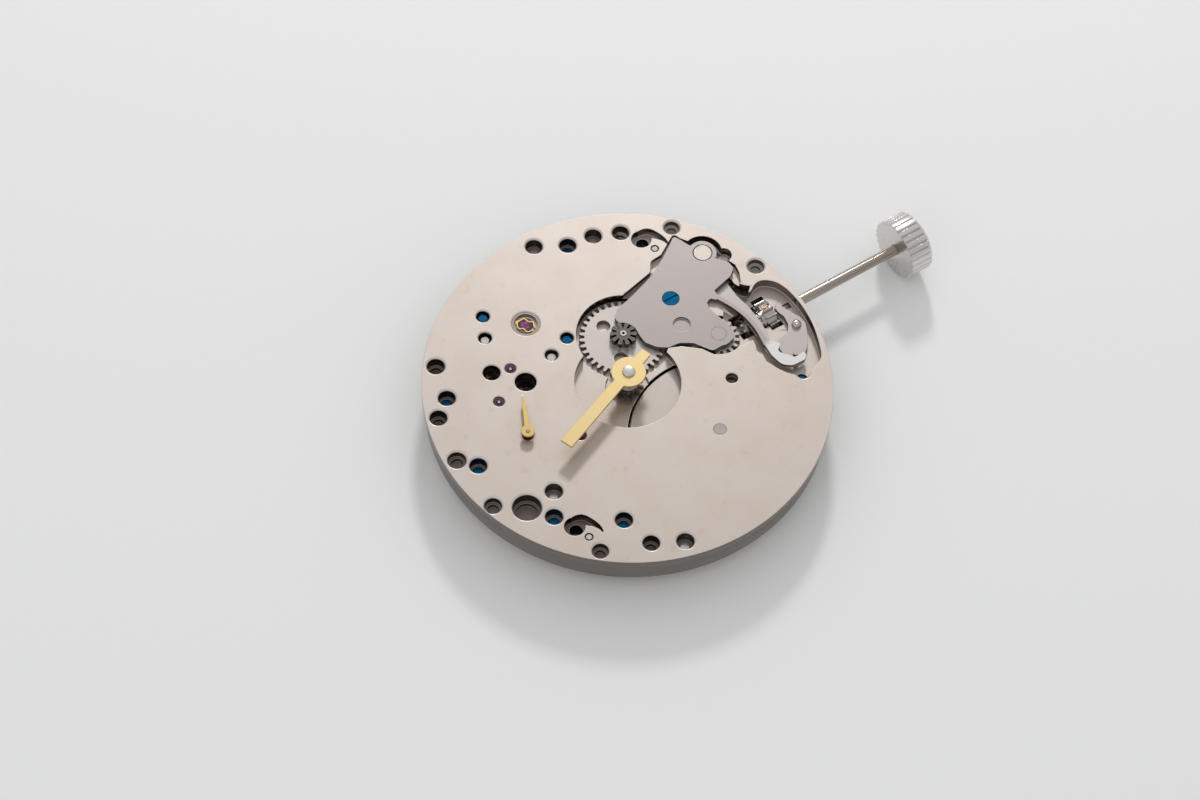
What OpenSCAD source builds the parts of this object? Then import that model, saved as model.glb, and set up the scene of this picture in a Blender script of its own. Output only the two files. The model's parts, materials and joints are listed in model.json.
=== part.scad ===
// Hand-wound watch movement with small seconds, seen with the dial and the hour wheel taken off.
// All sizes are in millimetres. The dial side faces +Z, the stem points along +X,
// and the origin is the centre of the movement on the dial side of the main plate.
// A depth is measured from the dial side towards the back, so a depth of 1 is at z = -1.

/* [Main plate] */
// Radius of the rim that sits in the case
rim_r = 18.3; // [18.2:0.05:18.8]
// Thickness of the rim flange
flange_t = 0.85; // [0.7:0.05:1.1]
// How far the flange stands out from the body of the plate
flange_step = 0.2; // [0.1:0.05:0.25]
// Thickness of the main plate
plate_t = 3.1; // [3.08:0.02:3.3]
// Depth of the shallow recess for the hour wheel
hour_recess_d = 0.8; // [0.7:0.05:0.85]
// Radius of the recess for the hour wheel
hour_recess_r = 4.75; // [4.4:0.05:5]
// Radius of the dial foot holes
dial_foot_r = 0.57; // [0.4:0.01:0.7]

/* [Bridges] */
// Thickness of the barrel bridge and the train bridge
bridge_t = 0.9; // [0.85:0.05:1.1]
// Distance of the bridge edges from the rim
bridge_inset = 0.85; // [0.8:0.05:1]
// Thickness of the metal left under the ratchet wheel
ratchet_web_t = 0.3; // [0.25:0.05:0.35]
// Thickness of the pallet bridge
pallet_bridge_t = 0.5; // [0.4:0.05:0.52]
// Thickness of the balance cock's arm
cock_arm_t = 0.5; // [0.4:0.05:0.6]
// Width of the balance cock's arm
cock_arm_w = 3.4; // [3:0.1:4.2]

/* [Clearances] */
// Gap between a wheel and the faces above and below it
play = 0.08; // [0.06:0.01:0.1]
// Gap round a turning part in its bore
fit = 0.02; // [0.015:0.005:0.03]
// Gap between two pieces that lie side by side
side_gap = 0.15; // [0.1:0.01:0.2]

/* [Winding stem] */
// Depth of the stem's axis below the dial side
stem_d = 1.9; // [1.88:0.01:1.92]
// Radius of the stem in its bearings
stem_r = 0.6; // [0.56:0.01:0.62]
// Radius of the thread outside the plate
thread_r = 0.5; // [0.4:0.01:0.52]
// Side of the square that carries the clutch
square_w = 0.82; // [0.7:0.01:0.84]
// Distance from the centre to the inner face of the crown
crown_x = 29.6; // [24:0.1:34]
// Radius of the crown
crown_r = 2.85; // [2:0.05:2.9]
// Length of the crown
crown_w = 2.25; // [1.6:0.05:3]
// Number of ribs round the crown
crown_ribs = 28; // [24:1:48]
// Depth of the notches between the ribs
crown_notch = 0.22; // [0.1:0.02:0.3]
// How far the stem pulls out to set the hands
pull = 1.0; // [0.8:0.05:1]

/* [Keyless works] */
// Thickness of the setting lever jumper
jumper_t = 0.42; // [0.35:0.01:0.45]
// Thickness of the lever, the yoke, the setting wheels and the minute wheel
lever_t = 0.36; // [0.3:0.01:0.4]
// How far the jumper lies below the dial side
jumper_d = 0.06; // [0.02:0.01:0.1]
// Radius of the clutch's inner end, which carries the setting teeth
clutch_r = 1.16; // [1.1:0.01:1.17]
// Radius of the clutch's outer flange, which passes under the yoke
clutch_flange_r = 1.0; // [0.98:0.01:1.02]

/* [Gears] */
// Gear module of the setting train and of the cannon pinion
set_mod = 0.2088; // [0.2:0.0002:0.21]
// Teeth of the cannon pinion
cannon_z = 12; // [12:1:12]
// Teeth of the minute wheel
minute_z = 36; // [36:1:36]
// Teeth of the intermediate setting wheel
inter_z = 16; // [16:1:16]
// Teeth of the setting wheel
setting_z = 17; // [17:1:17]
// Teeth of the crown wheel
crown_wheel_z = 38; // [38:1:38]
// Teeth of the ratchet wheel
ratchet_z = 57; // [57:1:57]
// Teeth of the winding pinion
winding_z = 13; // [13:1:13]
// Thickness of the ratchet wheel and the crown wheel
ratchet_t = 0.45; // [0.4:0.01:0.5]

/* [Barrel] */
// Radius of the barrel drum
drum_r = 7.95; // [7.6:0.05:8]
// Height of the barrel drum
drum_h = 1.78; // [1.7:0.01:1.8]
// Wall of the barrel drum
drum_wall = 0.4; // [0.3:0.05:0.6]
// Radius of the arbor's lower pivot
barrel_pivot_r = 0.55; // [0.45:0.01:0.6]
// Thickness of the mainspring strip
mainspring_t = 0.16; // [0.12:0.01:0.2]
// Turns of the mainspring
mainspring_turns = 9; // [6:1:11]

/* [Going train] */
// Thickness of the train wheels
wheel_t = 0.2; // [0.16:0.01:0.2]
// Teeth of the escape wheel
escape_z = 15; // [15:1:15]
// Tip radius of the escape wheel
escape_r = 3.05; // [2.95:0.01:3.06]
// Radius of a train pivot
pivot_r = 0.12; // [0.08:0.01:0.14]
// Radius of a pressed-in train jewel
jewel_r = 0.52; // [0.45:0.01:0.55]

/* [Balance] */
// Outer radius of the balance rim
balance_r = 4.9; // [4.4:0.05:5]
// Width of the balance rim
balance_rim_w = 0.55; // [0.4:0.05:0.7]
// Height of the balance rim
balance_rim_t = 0.4; // [0.3:0.02:0.42]
// Outer radius of the hairspring
hairspring_r = 2.45; // [2.2:0.05:2.6]
// Turns of the hairspring
hairspring_turns = 7; // [4:1:9]
// Radius of the shock setting's outer ring
shock_r = 1.28; // [1.2:0.01:1.35]

/* [Hands] */
// Height of the minute hand above the dial side
minute_hand_z = 1.45; // [1.2:0.05:1.6]
// Radius of the cannon pinion's end in the minute hand
hand_hub_r = 0.56; // [0.5:0.02:0.7]
// Length of the minute hand
minute_hand_l = 9.3; // [7:0.1:11]
// Angle of the minute hand
minute_hand_a = 200.8; // [0:0.1:360]
// Height of the seconds hand above the dial side
seconds_hand_z = 0.6; // [0.4:0.05:0.8]
// Length of the seconds hand
seconds_hand_l = 3.8; // [2.5:0.1:4.2]
// Angle of the seconds hand
seconds_hand_a = 65; // [0:1:360]

/* [Hidden] */
$fn = 48;
eps = 0.01;

// Colours
nickel = [0.80, 0.76, 0.72];
steel = [0.72, 0.70, 0.69];
brass = [0.87, 0.78, 0.53];
blued = [0.05, 0.42, 0.58];
ruby = [0.62, 0.08, 0.30];

// Places of the axes, in plan
centre_c = [0, 0];
third_c = [-6.55, -2.45];
fourth_c = [-10.5, 0];
escape_c = [-10.8, 4.3];
pallet_c = [-8.1, 6.7];
balance_c = [-4.4, 10.0];
// The barrel's drum keeps clear of the centre arbor and of the third wheel
barrel_c = meet(centre_c, drum_r + 1.4415, third_c, drum_r + 4.3368);
crown_wheel_c = [11.0, 0];
minute_c = [2.4, 4.4];
setting_c = [9.8, 0];
lever_c = [16.5, -2.65];
yoke_c = [13.5, 8.1];
jumper_screw_c = [8.23, 5.44];
click_c = [11.9, -10.7];

// Small helpers
function along(a, r = 1) = r * [cos(a), sin(a)];
function heading(v) = atan2(v[1], v[0]);
function flat(l) = [for (a = l) for (b = a) b];
function turn(p, a) = [p[0] * cos(a) - p[1] * sin(a), p[0] * sin(a) + p[1] * cos(a)];

// Where two circles cross, on the left of the line from the first centre to the second
function meet(p, rp, q, rq) =
    let (d = norm(q - p), a = (rp * rp - rq * rq + d * d) / (2 * d))
    p + turn([a, sqrt(max(0, rp * rp - a * a))], heading(q - p));

// The points in counterclockwise order
function twice_area(p) = [for (i = [0 : len(p) - 1]) let (a = p[i], b = p[(i + 1) % len(p)])
    a[0] * b[1] - a[1] * b[0]] * [for (a = p) 1];
function ordered(p) = twice_area(p) > 0 ? p : [for (i = [len(p) - 1 : -1 : 0]) p[i]];

// A corner of an outline, as an arc of the radius in its third value
function corner(a, b, c, r) =
    let (u = [a[0] - b[0], a[1] - b[1]], v = [c[0] - b[0], c[1] - b[1]],
        half = acos(max(-0.9999, min(0.9999, (u * v) / (norm(u) * norm(v))))) / 2,
        room = min(norm(u), norm(v)) * 0.48 * tan(half),
        rr = min(r, room), cut = rr / tan(half),
        from = [b[0], b[1]] + u / norm(u) * cut, to = [b[0], b[1]] + v / norm(v) * cut,
        mid = [b[0], b[1]] + (u / norm(u) + v / norm(v)) / norm(u / norm(u) + v / norm(v))
            * rr / sin(half),
        a0 = heading(from - mid), sweep = (heading(to - mid) - a0 + 540) % 360 - 180)
    [for (i = [0 : 6]) mid + along(a0 + sweep * i / 6, rr)];

// A closed outline with rounded corners: each point is [x, y, radius], and radius 0 stays sharp
function outline(p) = ordered(flat([for (i = [0 : len(p) - 1])
    let (a = p[(i + len(p) - 1) % len(p)], b = p[i], c = p[(i + 1) % len(p)])
    b[2] > 0 ? corner(a, b, c, b[2]) : [[b[0], b[1]]]]));

// A smooth curve through points, four steps to each stretch
function curve(a, b, c, d) = [for (t = [0 : 0.25 : 0.75])
    0.5 * (2 * b + (c - a) * t + (2 * a - 5 * b + 4 * c - d) * t * t + (3 * b - a - 3 * c + d)
        * t * t * t)];
function spline(p) = let (n = len(p))
    concat(flat([for (i = [0 : n - 2]) curve(p[max(i - 1, 0)], p[i], p[i + 1], p[min(i + 2, n - 1)])]),
        [p[n - 1]]);

// The same as a closed loop, where a point given twice makes a corner
function loop(p) = let (n = len(p)) ordered(flat([for (i = [0 : n - 1])
    p[i] == p[(i + 1) % n] ? [] : curve(p[(i + n - 1) % n], p[i], p[(i + 1) % n], p[(i + 2) % n])]));

// A strip along a curve: each point is [x, y, width]
function strip(p) = let (s = spline(p), n = len(s),
    side = [for (i = [0 : n - 1]) let (v = s[min(i + 1, n - 1)] - s[max(i - 1, 0)])
        [-v[1], v[0]] / norm([v[0], v[1]]) * s[i][2] / 2])
    concat([for (i = [0 : n - 1]) [s[i][0], s[i][1]] - side[i]],
        [for (i = [n - 1 : -1 : 0]) [s[i][0], s[i][1]] + side[i]]);

// A flat spiral strip from an inner radius to an outer one
function spiral(r0, r1, turns, w, per_turn) = let (n = turns * per_turn)
    concat([for (i = [0 : n]) along(i * 360 / per_turn, r0 + (r1 - r0) * i / n + w / 2)],
        [for (i = [n : -1 : 0]) along(i * 360 / per_turn, r0 + (r1 - r0) * i / n - w / 2)]);

// A solid between two depths
module slab(d0, d1) {
    translate([0, 0, -d1])
        linear_extrude(d1 - d0) children();
}
module at(p) {
    translate([p[0], p[1], 0]) children();
}
module rod(p, r, d0, d1) {
    at(p) slab(d0, d1) circle(r);
}
module tube(p, r, bore, d0, d1) {
    at(p) slab(d0, d1) difference() {
        circle(r);
        circle(bore);
    }
}
// A hole with a bevelled mouth on the dial side
module drilled(p, r, d1, bevel = 0.1) {
    rod(p, r, -eps, d1);
    at(p) translate([0, 0, -bevel])
        cylinder(r1 = r, r2 = r + bevel + eps, h = bevel + eps);
}

// Gears: the outline of a wheel with ogive teeth. Width is the share of the pitch that a tooth fills.
function tooth_row(z, r, add, ded, width, phase) = flat([for (k = [0 : z - 1])
    let (a = phase + k * 360 / z, h = 180 / z * width)
    [along(a - h * 1.1, r - ded), along(a - h, r), along(a - h * 0.72, r + add * 0.6),
        along(a - h * 0.22, r + add), along(a + h * 0.22, r + add), along(a + h * 0.72, r + add * 0.6),
        along(a + h, r), along(a + h * 1.1, r - ded)]]);
// The same with straight flanks, for teeth too small to show their curve
function plain_row(z, r, add, ded, width, phase) = flat([for (k = [0 : z - 1])
    let (a = phase + k * 360 / z, h = 180 / z * width)
    [along(a - h, r - ded), along(a - h * 0.9, r), along(a - h * 0.35, r + add),
        along(a + h * 0.35, r + add), along(a + h * 0.9, r), along(a + h, r - ded)]]);

// Pinion leaves that get wider towards their rounded ends
function leaf_row(z, r, add, ded, width, phase) = flat([for (k = [0 : z - 1])
    let (a = phase + k * 360 / z, h = 180 / z * width)
    [along(a - h * 0.85, r - ded), along(a - h, r), along(a - h * 0.95, r + add * 0.5),
        along(a - h * 0.55, r + add),
        along(a + h * 0.55, r + add), along(a + h * 0.95, r + add * 0.5), along(a + h, r),
            along(a + h * 0.85, r - ded)]]);

// The phase of a gear that meshes with one whose phase is known
function mesh_phase(phase, from, to, z0, z1) = let (phi = heading(to - from))
    phi + 180 - z0 / z1 * (phase - phi) - 180 / z1;

// Share of the pitch that wheel teeth and pinion leaves fill
wheel_w = 0.5;
leaf_w = 0.38;

// Depths of the pieces on the dial side
jumper_d1 = jumper_d + jumper_t;
set_d0 = jumper_d1 + play;
set_d1 = set_d0 + lever_t;
floor_d = set_d1 + play;

// Depths of the going train
barrel_roof_d = hour_recess_d - 0.02;
drum_d0 = barrel_roof_d + 0.19;
drum_d1 = drum_d0 + drum_h;
barrel_tooth_d0 = drum_d1 - 0.4;
centre_wheel_d0 = drum_d1 + play;
centre_wheel_d1 = centre_wheel_d0 + wheel_t;
third_wheel_d0 = 1.45;
escape_wheel_d0 = third_wheel_d0 + wheel_t + 0.05;
fork_d0 = escape_wheel_d0 + wheel_t + 0.05;
fork_d1 = fork_d0 + 0.2;
fourth_wheel_d0 = fork_d1 + 0.1;
back_d = plate_t;
bridge_d1 = back_d + bridge_t;

// Depths of the balance
balance_d0 = back_d + 0.05;
balance_d1 = balance_d0 + balance_rim_t;
hairspring_d0 = balance_d1 + 0.06;
hairspring_d1 = hairspring_d0 + 0.14;
cock_d0 = hairspring_d1 + 0.1;
cock_d1 = cock_d0 + cock_arm_t;

// Jewels
plate_jewel_d = 0.1;
jewel_t = 0.45;
jewel_seat_d = plate_jewel_d + jewel_t;
top_jewel_d = bridge_d1 - 0.08 - jewel_t;

// Going train
barrel_z = 80;
centre_pin_z = 12;
centre_z = 80;
third_pin_z = 10;
third_z = 75;
fourth_pin_z = 10;
fourth_z = 80;
escape_pin_z = 8;
function pitch_r(p, q, z, other) = norm(q - p) * z / (z + other);
barrel_pr = pitch_r(barrel_c, centre_c, barrel_z, centre_pin_z);
centre_pin_pr = pitch_r(barrel_c, centre_c, centre_pin_z, barrel_z);
centre_pr = pitch_r(centre_c, third_c, centre_z, third_pin_z);
third_pin_pr = pitch_r(centre_c, third_c, third_pin_z, centre_z);
third_pr = pitch_r(third_c, fourth_c, third_z, fourth_pin_z);
fourth_pin_pr = pitch_r(third_c, fourth_c, fourth_pin_z, third_z);
fourth_pr = pitch_r(fourth_c, escape_c, fourth_z, escape_pin_z);
escape_pin_pr = pitch_r(fourth_c, escape_c, escape_pin_z, fourth_z);
barrel_phase = heading(centre_c - barrel_c);
centre_pin_phase = mesh_phase(barrel_phase, barrel_c, centre_c, barrel_z, centre_pin_z);
centre_phase = heading(third_c - centre_c);
third_pin_phase = mesh_phase(centre_phase, centre_c, third_c, centre_z, third_pin_z);
third_phase = heading(fourth_c - third_c);
fourth_pin_phase = mesh_phase(third_phase, third_c, fourth_c, third_z, fourth_pin_z);
fourth_phase = heading(escape_c - fourth_c);
escape_pin_phase = mesh_phase(fourth_phase, fourth_c, escape_c, fourth_z, escape_pin_z);
train_add = 0.11;
leaf_add = 0.08;
train_ded = 0.2;
barrel_add = 0.19;

// Setting train
cannon_pr = set_mod * cannon_z / 2;
minute_pr = set_mod * minute_z / 2;
inter_pr = set_mod * inter_z / 2;
setting_pr = set_mod * setting_z / 2;
set_add = set_mod * 0.95;
set_ded = set_mod * 1.3;
minute_at = along(heading(minute_c), cannon_pr + minute_pr);
inter_at = meet(minute_at, minute_pr + inter_pr, setting_c, inter_pr + setting_pr);
cannon_phase = heading(minute_at) + 180 / cannon_z;
minute_phase = mesh_phase(cannon_phase, centre_c, minute_at, cannon_z, minute_z);
inter_phase = mesh_phase(minute_phase, minute_at, inter_at, minute_z, inter_z);
setting_phase = mesh_phase(inter_phase, inter_at, setting_c, inter_z, setting_z);

// Winding train
wind_mod = 2 * norm(crown_wheel_c - barrel_c) / (crown_wheel_z + ratchet_z);
crown_wheel_pr = wind_mod * crown_wheel_z / 2;
ratchet_pr = wind_mod * ratchet_z / 2;
winding_pr = wind_mod * winding_z / 2;
wind_add = 0.17;
wind_ded = 0.27;
ratchet_floor_d = back_d + ratchet_web_t;
ratchet_d0 = ratchet_floor_d + 0.03;
ratchet_d1 = ratchet_d0 + ratchet_t;
crown_wheel_phase = 0;
ratchet_phase = mesh_phase(crown_wheel_phase, crown_wheel_c, barrel_c, crown_wheel_z, ratchet_z);

// Stations along the stem
pinion_x1 = crown_wheel_c[0] + crown_wheel_pr + 0.38;
pinion_x0 = pinion_x1 - 1.05;
ratchet_face_x = pinion_x0 - 0.3;
clutch_tooth_h = 0.26;
clutch_x1 = ratchet_face_x - clutch_tooth_h - fit;
clutch_travel = 0.42;
clutch_end_x = setting_c[0] + set_mod * (setting_z / 2 + 0.95) + 0.05 + clutch_travel;
clutch_x0 = clutch_end_x + 0.26;
clutch_groove_x = clutch_x0 + 0.2;
groove_w = clutch_x1 - 0.5 - clutch_groove_x;
groove_r = 0.7;
lever_groove_x = lever_c[0] - 0.3;
lever_groove_w = 0.62;

// Fastenings
screw_r = 0.5;
screw_hole_d = 1.15;
screw_tip_d = 1.2;
screw_head_r = 1.1;
bridge_screw_at = [[-8.0, -11.55], [13.8, -7.45], [-14.5, 7.05], [-15.8, -0.3], [-12.95, -8.1]];
cock_screw_at = [3.45, 15.25];
steady_r = 0.4;
cock_pin_at = [[0.75, 16.75], [6.0, 14.9]];
bridge_pin_at = [[-11.6, -5.95], [-4.65, -16.1]];
pallet_screw_at = [[-7.25, 12.7], [-2.05, 6.8]];
pallet_pin_at = [[-8.3, 10.65], [-4.2, 6.0]];
small_screw_r = 0.4;
open_holes = [[8.35, 13.9, 0.8], [12.65, 11.9, 0.75], [16.8, 4.3, 0.8], [-16.2, 5.7, 0.8],
    [-13.6, 10.4, 0.83], [-17.1, 1.15, 0.85], [-16.85, -4.4, 0.8], [-14.45, -6.1, 1.3],
    [-11.4, -13.05, 0.75], [-7.25, -14.7, 0.77]];
dial_foot_at = [[9.7, 12.25], [-11.82, -9.9]];

// Outlines on the dial side
jumper_outline = outline([[3.62, 2.75, 0.5], [4.25, 1.75, 0.6], [5.1, 1.15, 0.8], [6.2, 1.05, 0.8],
    [7.3, 0.35, 0.6], [8.3, -1.25, 0.5], [10.9, -1.15, 0.5], [11.0, 0.6, 0.3], [10.62, 2.6, 0.2],
    [10.75, 3.35, 0.35], [11.3, 3.55, 0.25], [11.75, 3.0, 0.2], [12.05, 3.7, 0.2], [12.1, 4.1, 0.1],
    [14.2, 4.6, 0.4], [15.0, 5.2, 0.5], [14.95, 5.95, 0.4], [14.3, 6.75, 0.2], [13.9, 7.25, 0],
    [12.95, 7.2, 0], [12.5, 7.8, 0.3], [12.5, 8.55, 0.3], [13.0, 9.2, 0], [12.65, 10.2, 0.3],
    [12.25, 11.05, 0.25], [11.6, 10.55, 0.5], [10.2, 9.6, 0.8], [8.2, 8.45, 1.0], [5.2, 7.45, 1.0],
    [3.5, 7.05, 0.4], [2.75, 6.4, 0.5], [2.75, 5.75, 0.3], [3.35, 5.35, 0.4], [3.75, 4.6, 0.8],
    [3.62, 3.6, 0.6]]);
arm_line = [[11.75, 3.75, 0.55], [12.25, 2.65, 0.42], [12.68, 1.5, 0.4], [12.98, 0.2, 0.4],
    [13.06, -1.2, 0.42], [12.95, -2.4, 0.5], [12.85, -3.2, 0.62]];
sickle_outline = outline([[12.62, -2.9, 0], [13.1, -2.75, 0], [13.5, -3.2, 0.3], [13.95, -3.75, 0.12],
    [13.68, -4.0, 0.1], [13.36, -4.2, 0.15], [13.36, -4.5, 0.15], [13.62, -4.88, 0.2],
    [13.84, -5.1, 0.15], [14.02, -5.38, 0.15], [14.2, -5.64, 0.2], [14.9, -5.62, 0.2],
    [15.2, -5.6, 0.12], [15.25, -6.0, 0.25], [14.8, -6.35, 0.4], [13.5, -6.3, 0.9], [12.75, -5.7, 0.9],
    [12.52, -4.5, 1.2]]);
lever_outline = outline([[15.9, -0.75, 0.25], [15.88, -0.02, 0.25], [16.52, -0.02, 0.25],
    [16.72, -0.9, 0.6], [17.3, -2.1, 0.6], [17.36, -2.9, 0.6], [16.7, -4.2, 0.8], [16.0, -5.1, 0.3],
    [15.3, -5.62, 0.3], [14.6, -5.62, 0.25], [14.15, -5.3, 0.25], [13.75, -4.6, 0.4],
    [13.65, -3.1, 0.2], [14.6, -3.05, 0.5], [15.35, -2.95, 0.5], [15.92, -2.2, 0.6], [16.08, -1.3, 0.8]]);
yoke_outline = outline([[12.25, 7.4, 0.3], [12.2, 4.6, 0.8], [12.5, 2.8, 0.8], [12.85, 1.4, 0.4],
    [12.8, -0.4, 0.4], [12.75, -1.7, 0.4], [13.1, -2.6, 0.2], [13.5, -2.7, 0.2], [13.75, -2.2, 0.3],
    [13.95, -0.8, 0.4], [13.95, 1.1, 0.5], [13.72, 2.8, 0.6], [13.75, 4.5, 0.6], [14.6, 7.3, 0.5],
    [13.5, 7.9, 0]]);
pocket_outline = loop([[14.3, 3.4], [14.35, 2.65], [14.6, 2.25], [15.0, 2.35], [15.5, 2.65], [16.1, 2.75],
    [16.7, 2.5], [17.3, 1.9], [17.65, 1.1], [17.82, 0.2], [17.88, -1.0], [17.8, -2.2], [17.6, -3.4],
        [17.25, -4.6],
    [16.8, -5.75], [16.4, -6.6], [16.0, -7.05], [15.2, -7.45], [14.4, -7.8], [13.8, -7.85],
        [13.35, -7.5], [12.9, -7.0],
    [12.55, -6.55], [12.2, -5.9], [11.95, -5.2], [11.75, -4.7], [11.85, -4.3], [11.9, -3.85],
        [11.72, -3.55],
    [11.65, -3.25], [11.85, -2.9], [12.02, -2.2], [12.02, -2.2], [10.8, -2.15], [10.8, -2.15],
        [10.8, 1.0],
    [10.8, 1.0], [12.0, 2.6], [11.9, 6.0], [12.1, 7.4], [12.1, 7.4], [14.9, 7.4], [14.9, 7.4],
        [14.4, 5.6], [14.2, 4.7]]);
cover_pocket_outline = outline([[3.2, 2.2, 0.5], [4.6, 1.3, 0.6], [6.2, 0.6, 0.5], [7.6, -0.6, 0.4],
    [8.2, -1.7, 0.4], [11.1, -1.9, 0.4], [12.4, 0.8, 0.5], [14.0, 3.4, 0.3], [14.6, 3.55, 0.4],
    [15.1, 4.5, 0.5], [15.25, 5.4, 0.4], [15.0, 6.1, 0.3], [15.0, 7.5, 0], [13.0, 9.9, 0],
    [12.6, 10.5, 0.3], [12.35, 11.2, 0.25], [11.6, 10.75, 0.5], [10.1, 9.85, 0.4], [8.9, 9.75, 0.6],
    [8.2, 8.75, 0.2], [5.2, 8.1, 0.8], [3.0, 7.6, 0.5]]);

yoke_side_hole = outline([[13.8, 4.55, 0.1], [13.75, 3.5, 0.1], [13.85, 2.6, 0.1], [14.2, 2.0, 0.1],
    [14.5, 2.2, 0.2], [15.1, 2.75, 0.1], [14.6, 3.2, 0.2], [14.4, 3.6, 0.2], [14.2, 4.0, 0.1],
    [14.3, 4.6, 0.1]]);

// Bridges, in plan
train_bridge_outline = [[-12.1, -13.6], [-3.4, -4.1], [1.3, -2.0], [2.1, 0.0], [1.4, 2.0], [-2.0, 3.4],
    [-7.5, 3.6], [-9.3, 6.8], [-11.5, 8.6], [-17.0, 10.9], [-20, 9], [-20, -13.6]];
barrel_bridge_outline = [[-11.5, -14.0], [-3.1, -4.75], [1.6, -2.55], [2.5, 0.0], [1.8, 2.3],
    [3.4, 4.6], [7.2, 9.4], [10.6, 13.1], [13, 20], [22, 20], [22, -22], [-11.5, -22]];
cock_foot_outline = outline([[-0.9, 14.9, 0.6], [1.6, 12.3, 1], [6.2, 11.5, 1], [8.6, 13.0, 1],
    [9.6, 18.5, 0], [-1.6, 18.5, 0]]);

// Plate recess at a dial foot: a round pocket with a curved tail, and a small pin beside it
foot_pin = [0.32, -1.51];
module foot_recess(p) {
    at(p) slab(-eps, 0.95) {
        translate([-0.18, 0]) circle(0.92);
        polygon(strip([[0.0, 0.4, 1.0], [0.7, 0.25, 1.05], [1.3, -0.5, 0.66], [1.6, -1.2, 0.34],
            [1.62, -1.72, 0.12]]));
    }
    at(p + foot_pin) slab(-eps, 0.3) circle(0.38);
    at(p + foot_pin) slab(0.3 - eps, 1.2) circle(0.26);
}

yoke_stud_r = 0.84;
module main_plate_body() {
    rotate_extrude() polygon([[0, 0], [0, -back_d], [rim_r - flange_step - 0.1, -back_d],
        [rim_r - flange_step, -back_d + 0.1],
        [rim_r - flange_step, -flange_t], [rim_r, -flange_t], [rim_r, 0]]);
}

// Recesses and holes cut from the dial side
module dial_side_cuts() {
    rod(centre_c, hour_recess_r, -eps, hour_recess_d);
    rod(minute_at, minute_pr + set_add + 0.28, -eps, floor_d);
    slab(-eps, jumper_d1 + 0.02) polygon(cover_pocket_outline);
    slab(-eps, floor_d) polygon(pocket_outline);
    rod(yoke_c, 1.8, -eps, floor_d);
    rod([15.0, 6.85], 0.72, -eps, floor_d);
    rod(inter_at, inter_pr + set_add + 0.3, -eps, floor_d);
    rod(setting_c, setting_pr + set_add + 0.25, -eps, floor_d);
    rod(centre_c, 1.95, -eps, 1.0);
    for (p = concat(bridge_screw_at, [cock_screw_at], cock_pin_at, bridge_pin_at)) {
        drilled(p, p == bridge_screw_at[1] ? screw_r + fit : 0.76, screw_hole_d, 0.14);
        rod(p, screw_r + fit, 0.5, screw_hole_d + 0.1);
    }
    // Holes close to the rim stay within the flange
    for (h = open_holes) let (outer = norm([h[0], h[1]]) + h[2] > rim_r - flange_step - 0.12,
            d = outer ? flange_t - 0.1 : screw_hole_d) {
        drilled(h, h[2] - 0.04, d, 0.14);
        rod(h, h[2] - 0.3, 0.5, d + 0.4);
    }
    for (p = concat(pallet_screw_at, pallet_pin_at)) drilled(p, 0.6, 1.0, 0.1);
    for (p = [escape_c, pallet_c, third_c, fourth_c]) drilled(p, jewel_r, plate_jewel_d + eps, 0.04);
    rod(fourth_c, jewel_r + 0.1, -eps, 0.06);
    drilled(balance_c, shock_r, 0.5, 0.08);
    for (p = dial_foot_at) drilled(p, dial_foot_r, back_d - 0.6, 0.05);
    for (p = dial_foot_at) foot_recess(p);
    slab(-eps, 1.8) polygon(yoke_side_hole);
    rod(jumper_screw_c, 0.42, jumper_d1, 1.3);
    rod(lever_c, 0.3, floor_d - eps, 1.5);
    drilled([-9.75, 7.2], 0.78, fork_d0, 0.08);
    drilled([-7.7, 4.8], 0.95, fork_d0, 0.08);
    drilled([8.1, -4.55], 0.53, 1.5, 0.05);
    drilled(barrel_c, barrel_pivot_r + fit, 1.5, 0.03);
}

// Cavities cut from the back
module back_cuts() {
    rod(barrel_c, drum_r + side_gap, barrel_roof_d, back_d + eps);
    rod(barrel_c, barrel_pr + barrel_add + 0.1, barrel_tooth_d0 - 0.1, back_d + eps);
    rod(centre_c, centre_pin_pr + 0.45, 1.35, back_d + eps);
    rod(centre_c, centre_pr + train_add + side_gap, centre_wheel_d0 - play, back_d + eps);
    rod(third_c, third_pr + train_add + side_gap, third_wheel_d0 - play, back_d + eps);
    rod(fourth_c, 1.0, 1.2, back_d + eps);
    rod(fourth_c, fourth_pr + train_add + side_gap, fourth_wheel_d0 - play, back_d + eps);
    rod(escape_c, escape_r + 0.25, escape_wheel_d0 - play, back_d + eps);
    rod(balance_c, balance_r + 0.4, fourth_wheel_d0, back_d + eps);
    rod(pallet_c, 2.3, escape_wheel_d0 - play, back_d + eps);
    rod(balance_c, 1.6, escape_wheel_d0 - play, back_d + eps);
    at(pallet_c) rotate(heading(balance_c - pallet_c)) slab(escape_wheel_d0 - play, back_d)
        translate([0, -1.1]) square([4.96, 2.2]);
    for (p = [escape_c, pallet_c, third_c, fourth_c]) {
        rod(p, jewel_r, plate_jewel_d - eps, jewel_seat_d);
        rod(p, 0.42, jewel_seat_d - eps, 1.8);
    }
    rod(centre_c, 0.85, 1.0 - eps, 1.4);
    rod(balance_c, shock_r - 0.2, 0.5 - eps, 1.3);
    rod(balance_c, 0.4, 1.0, back_d);
    for (p = concat(bridge_screw_at, [cock_screw_at])) rod(p, screw_r + fit, screw_hole_d, back_d + eps);
    for (p = concat(bridge_pin_at, cock_pin_at)) rod(p, steady_r, screw_hole_d, back_d + eps);
    for (p = pallet_screw_at) rod(p, small_screw_r, 0.9, back_d);
    for (p = pallet_pin_at) rod(p, 0.38, 0.9, back_d);
}

// A round cavity along the stem, from x0 to x1
module stem_bore(r, x0, x1) {
    translate([x0, 0, -stem_d]) rotate([0, 90, 0]) cylinder(r = r, h = x1 - x0);
}

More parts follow.
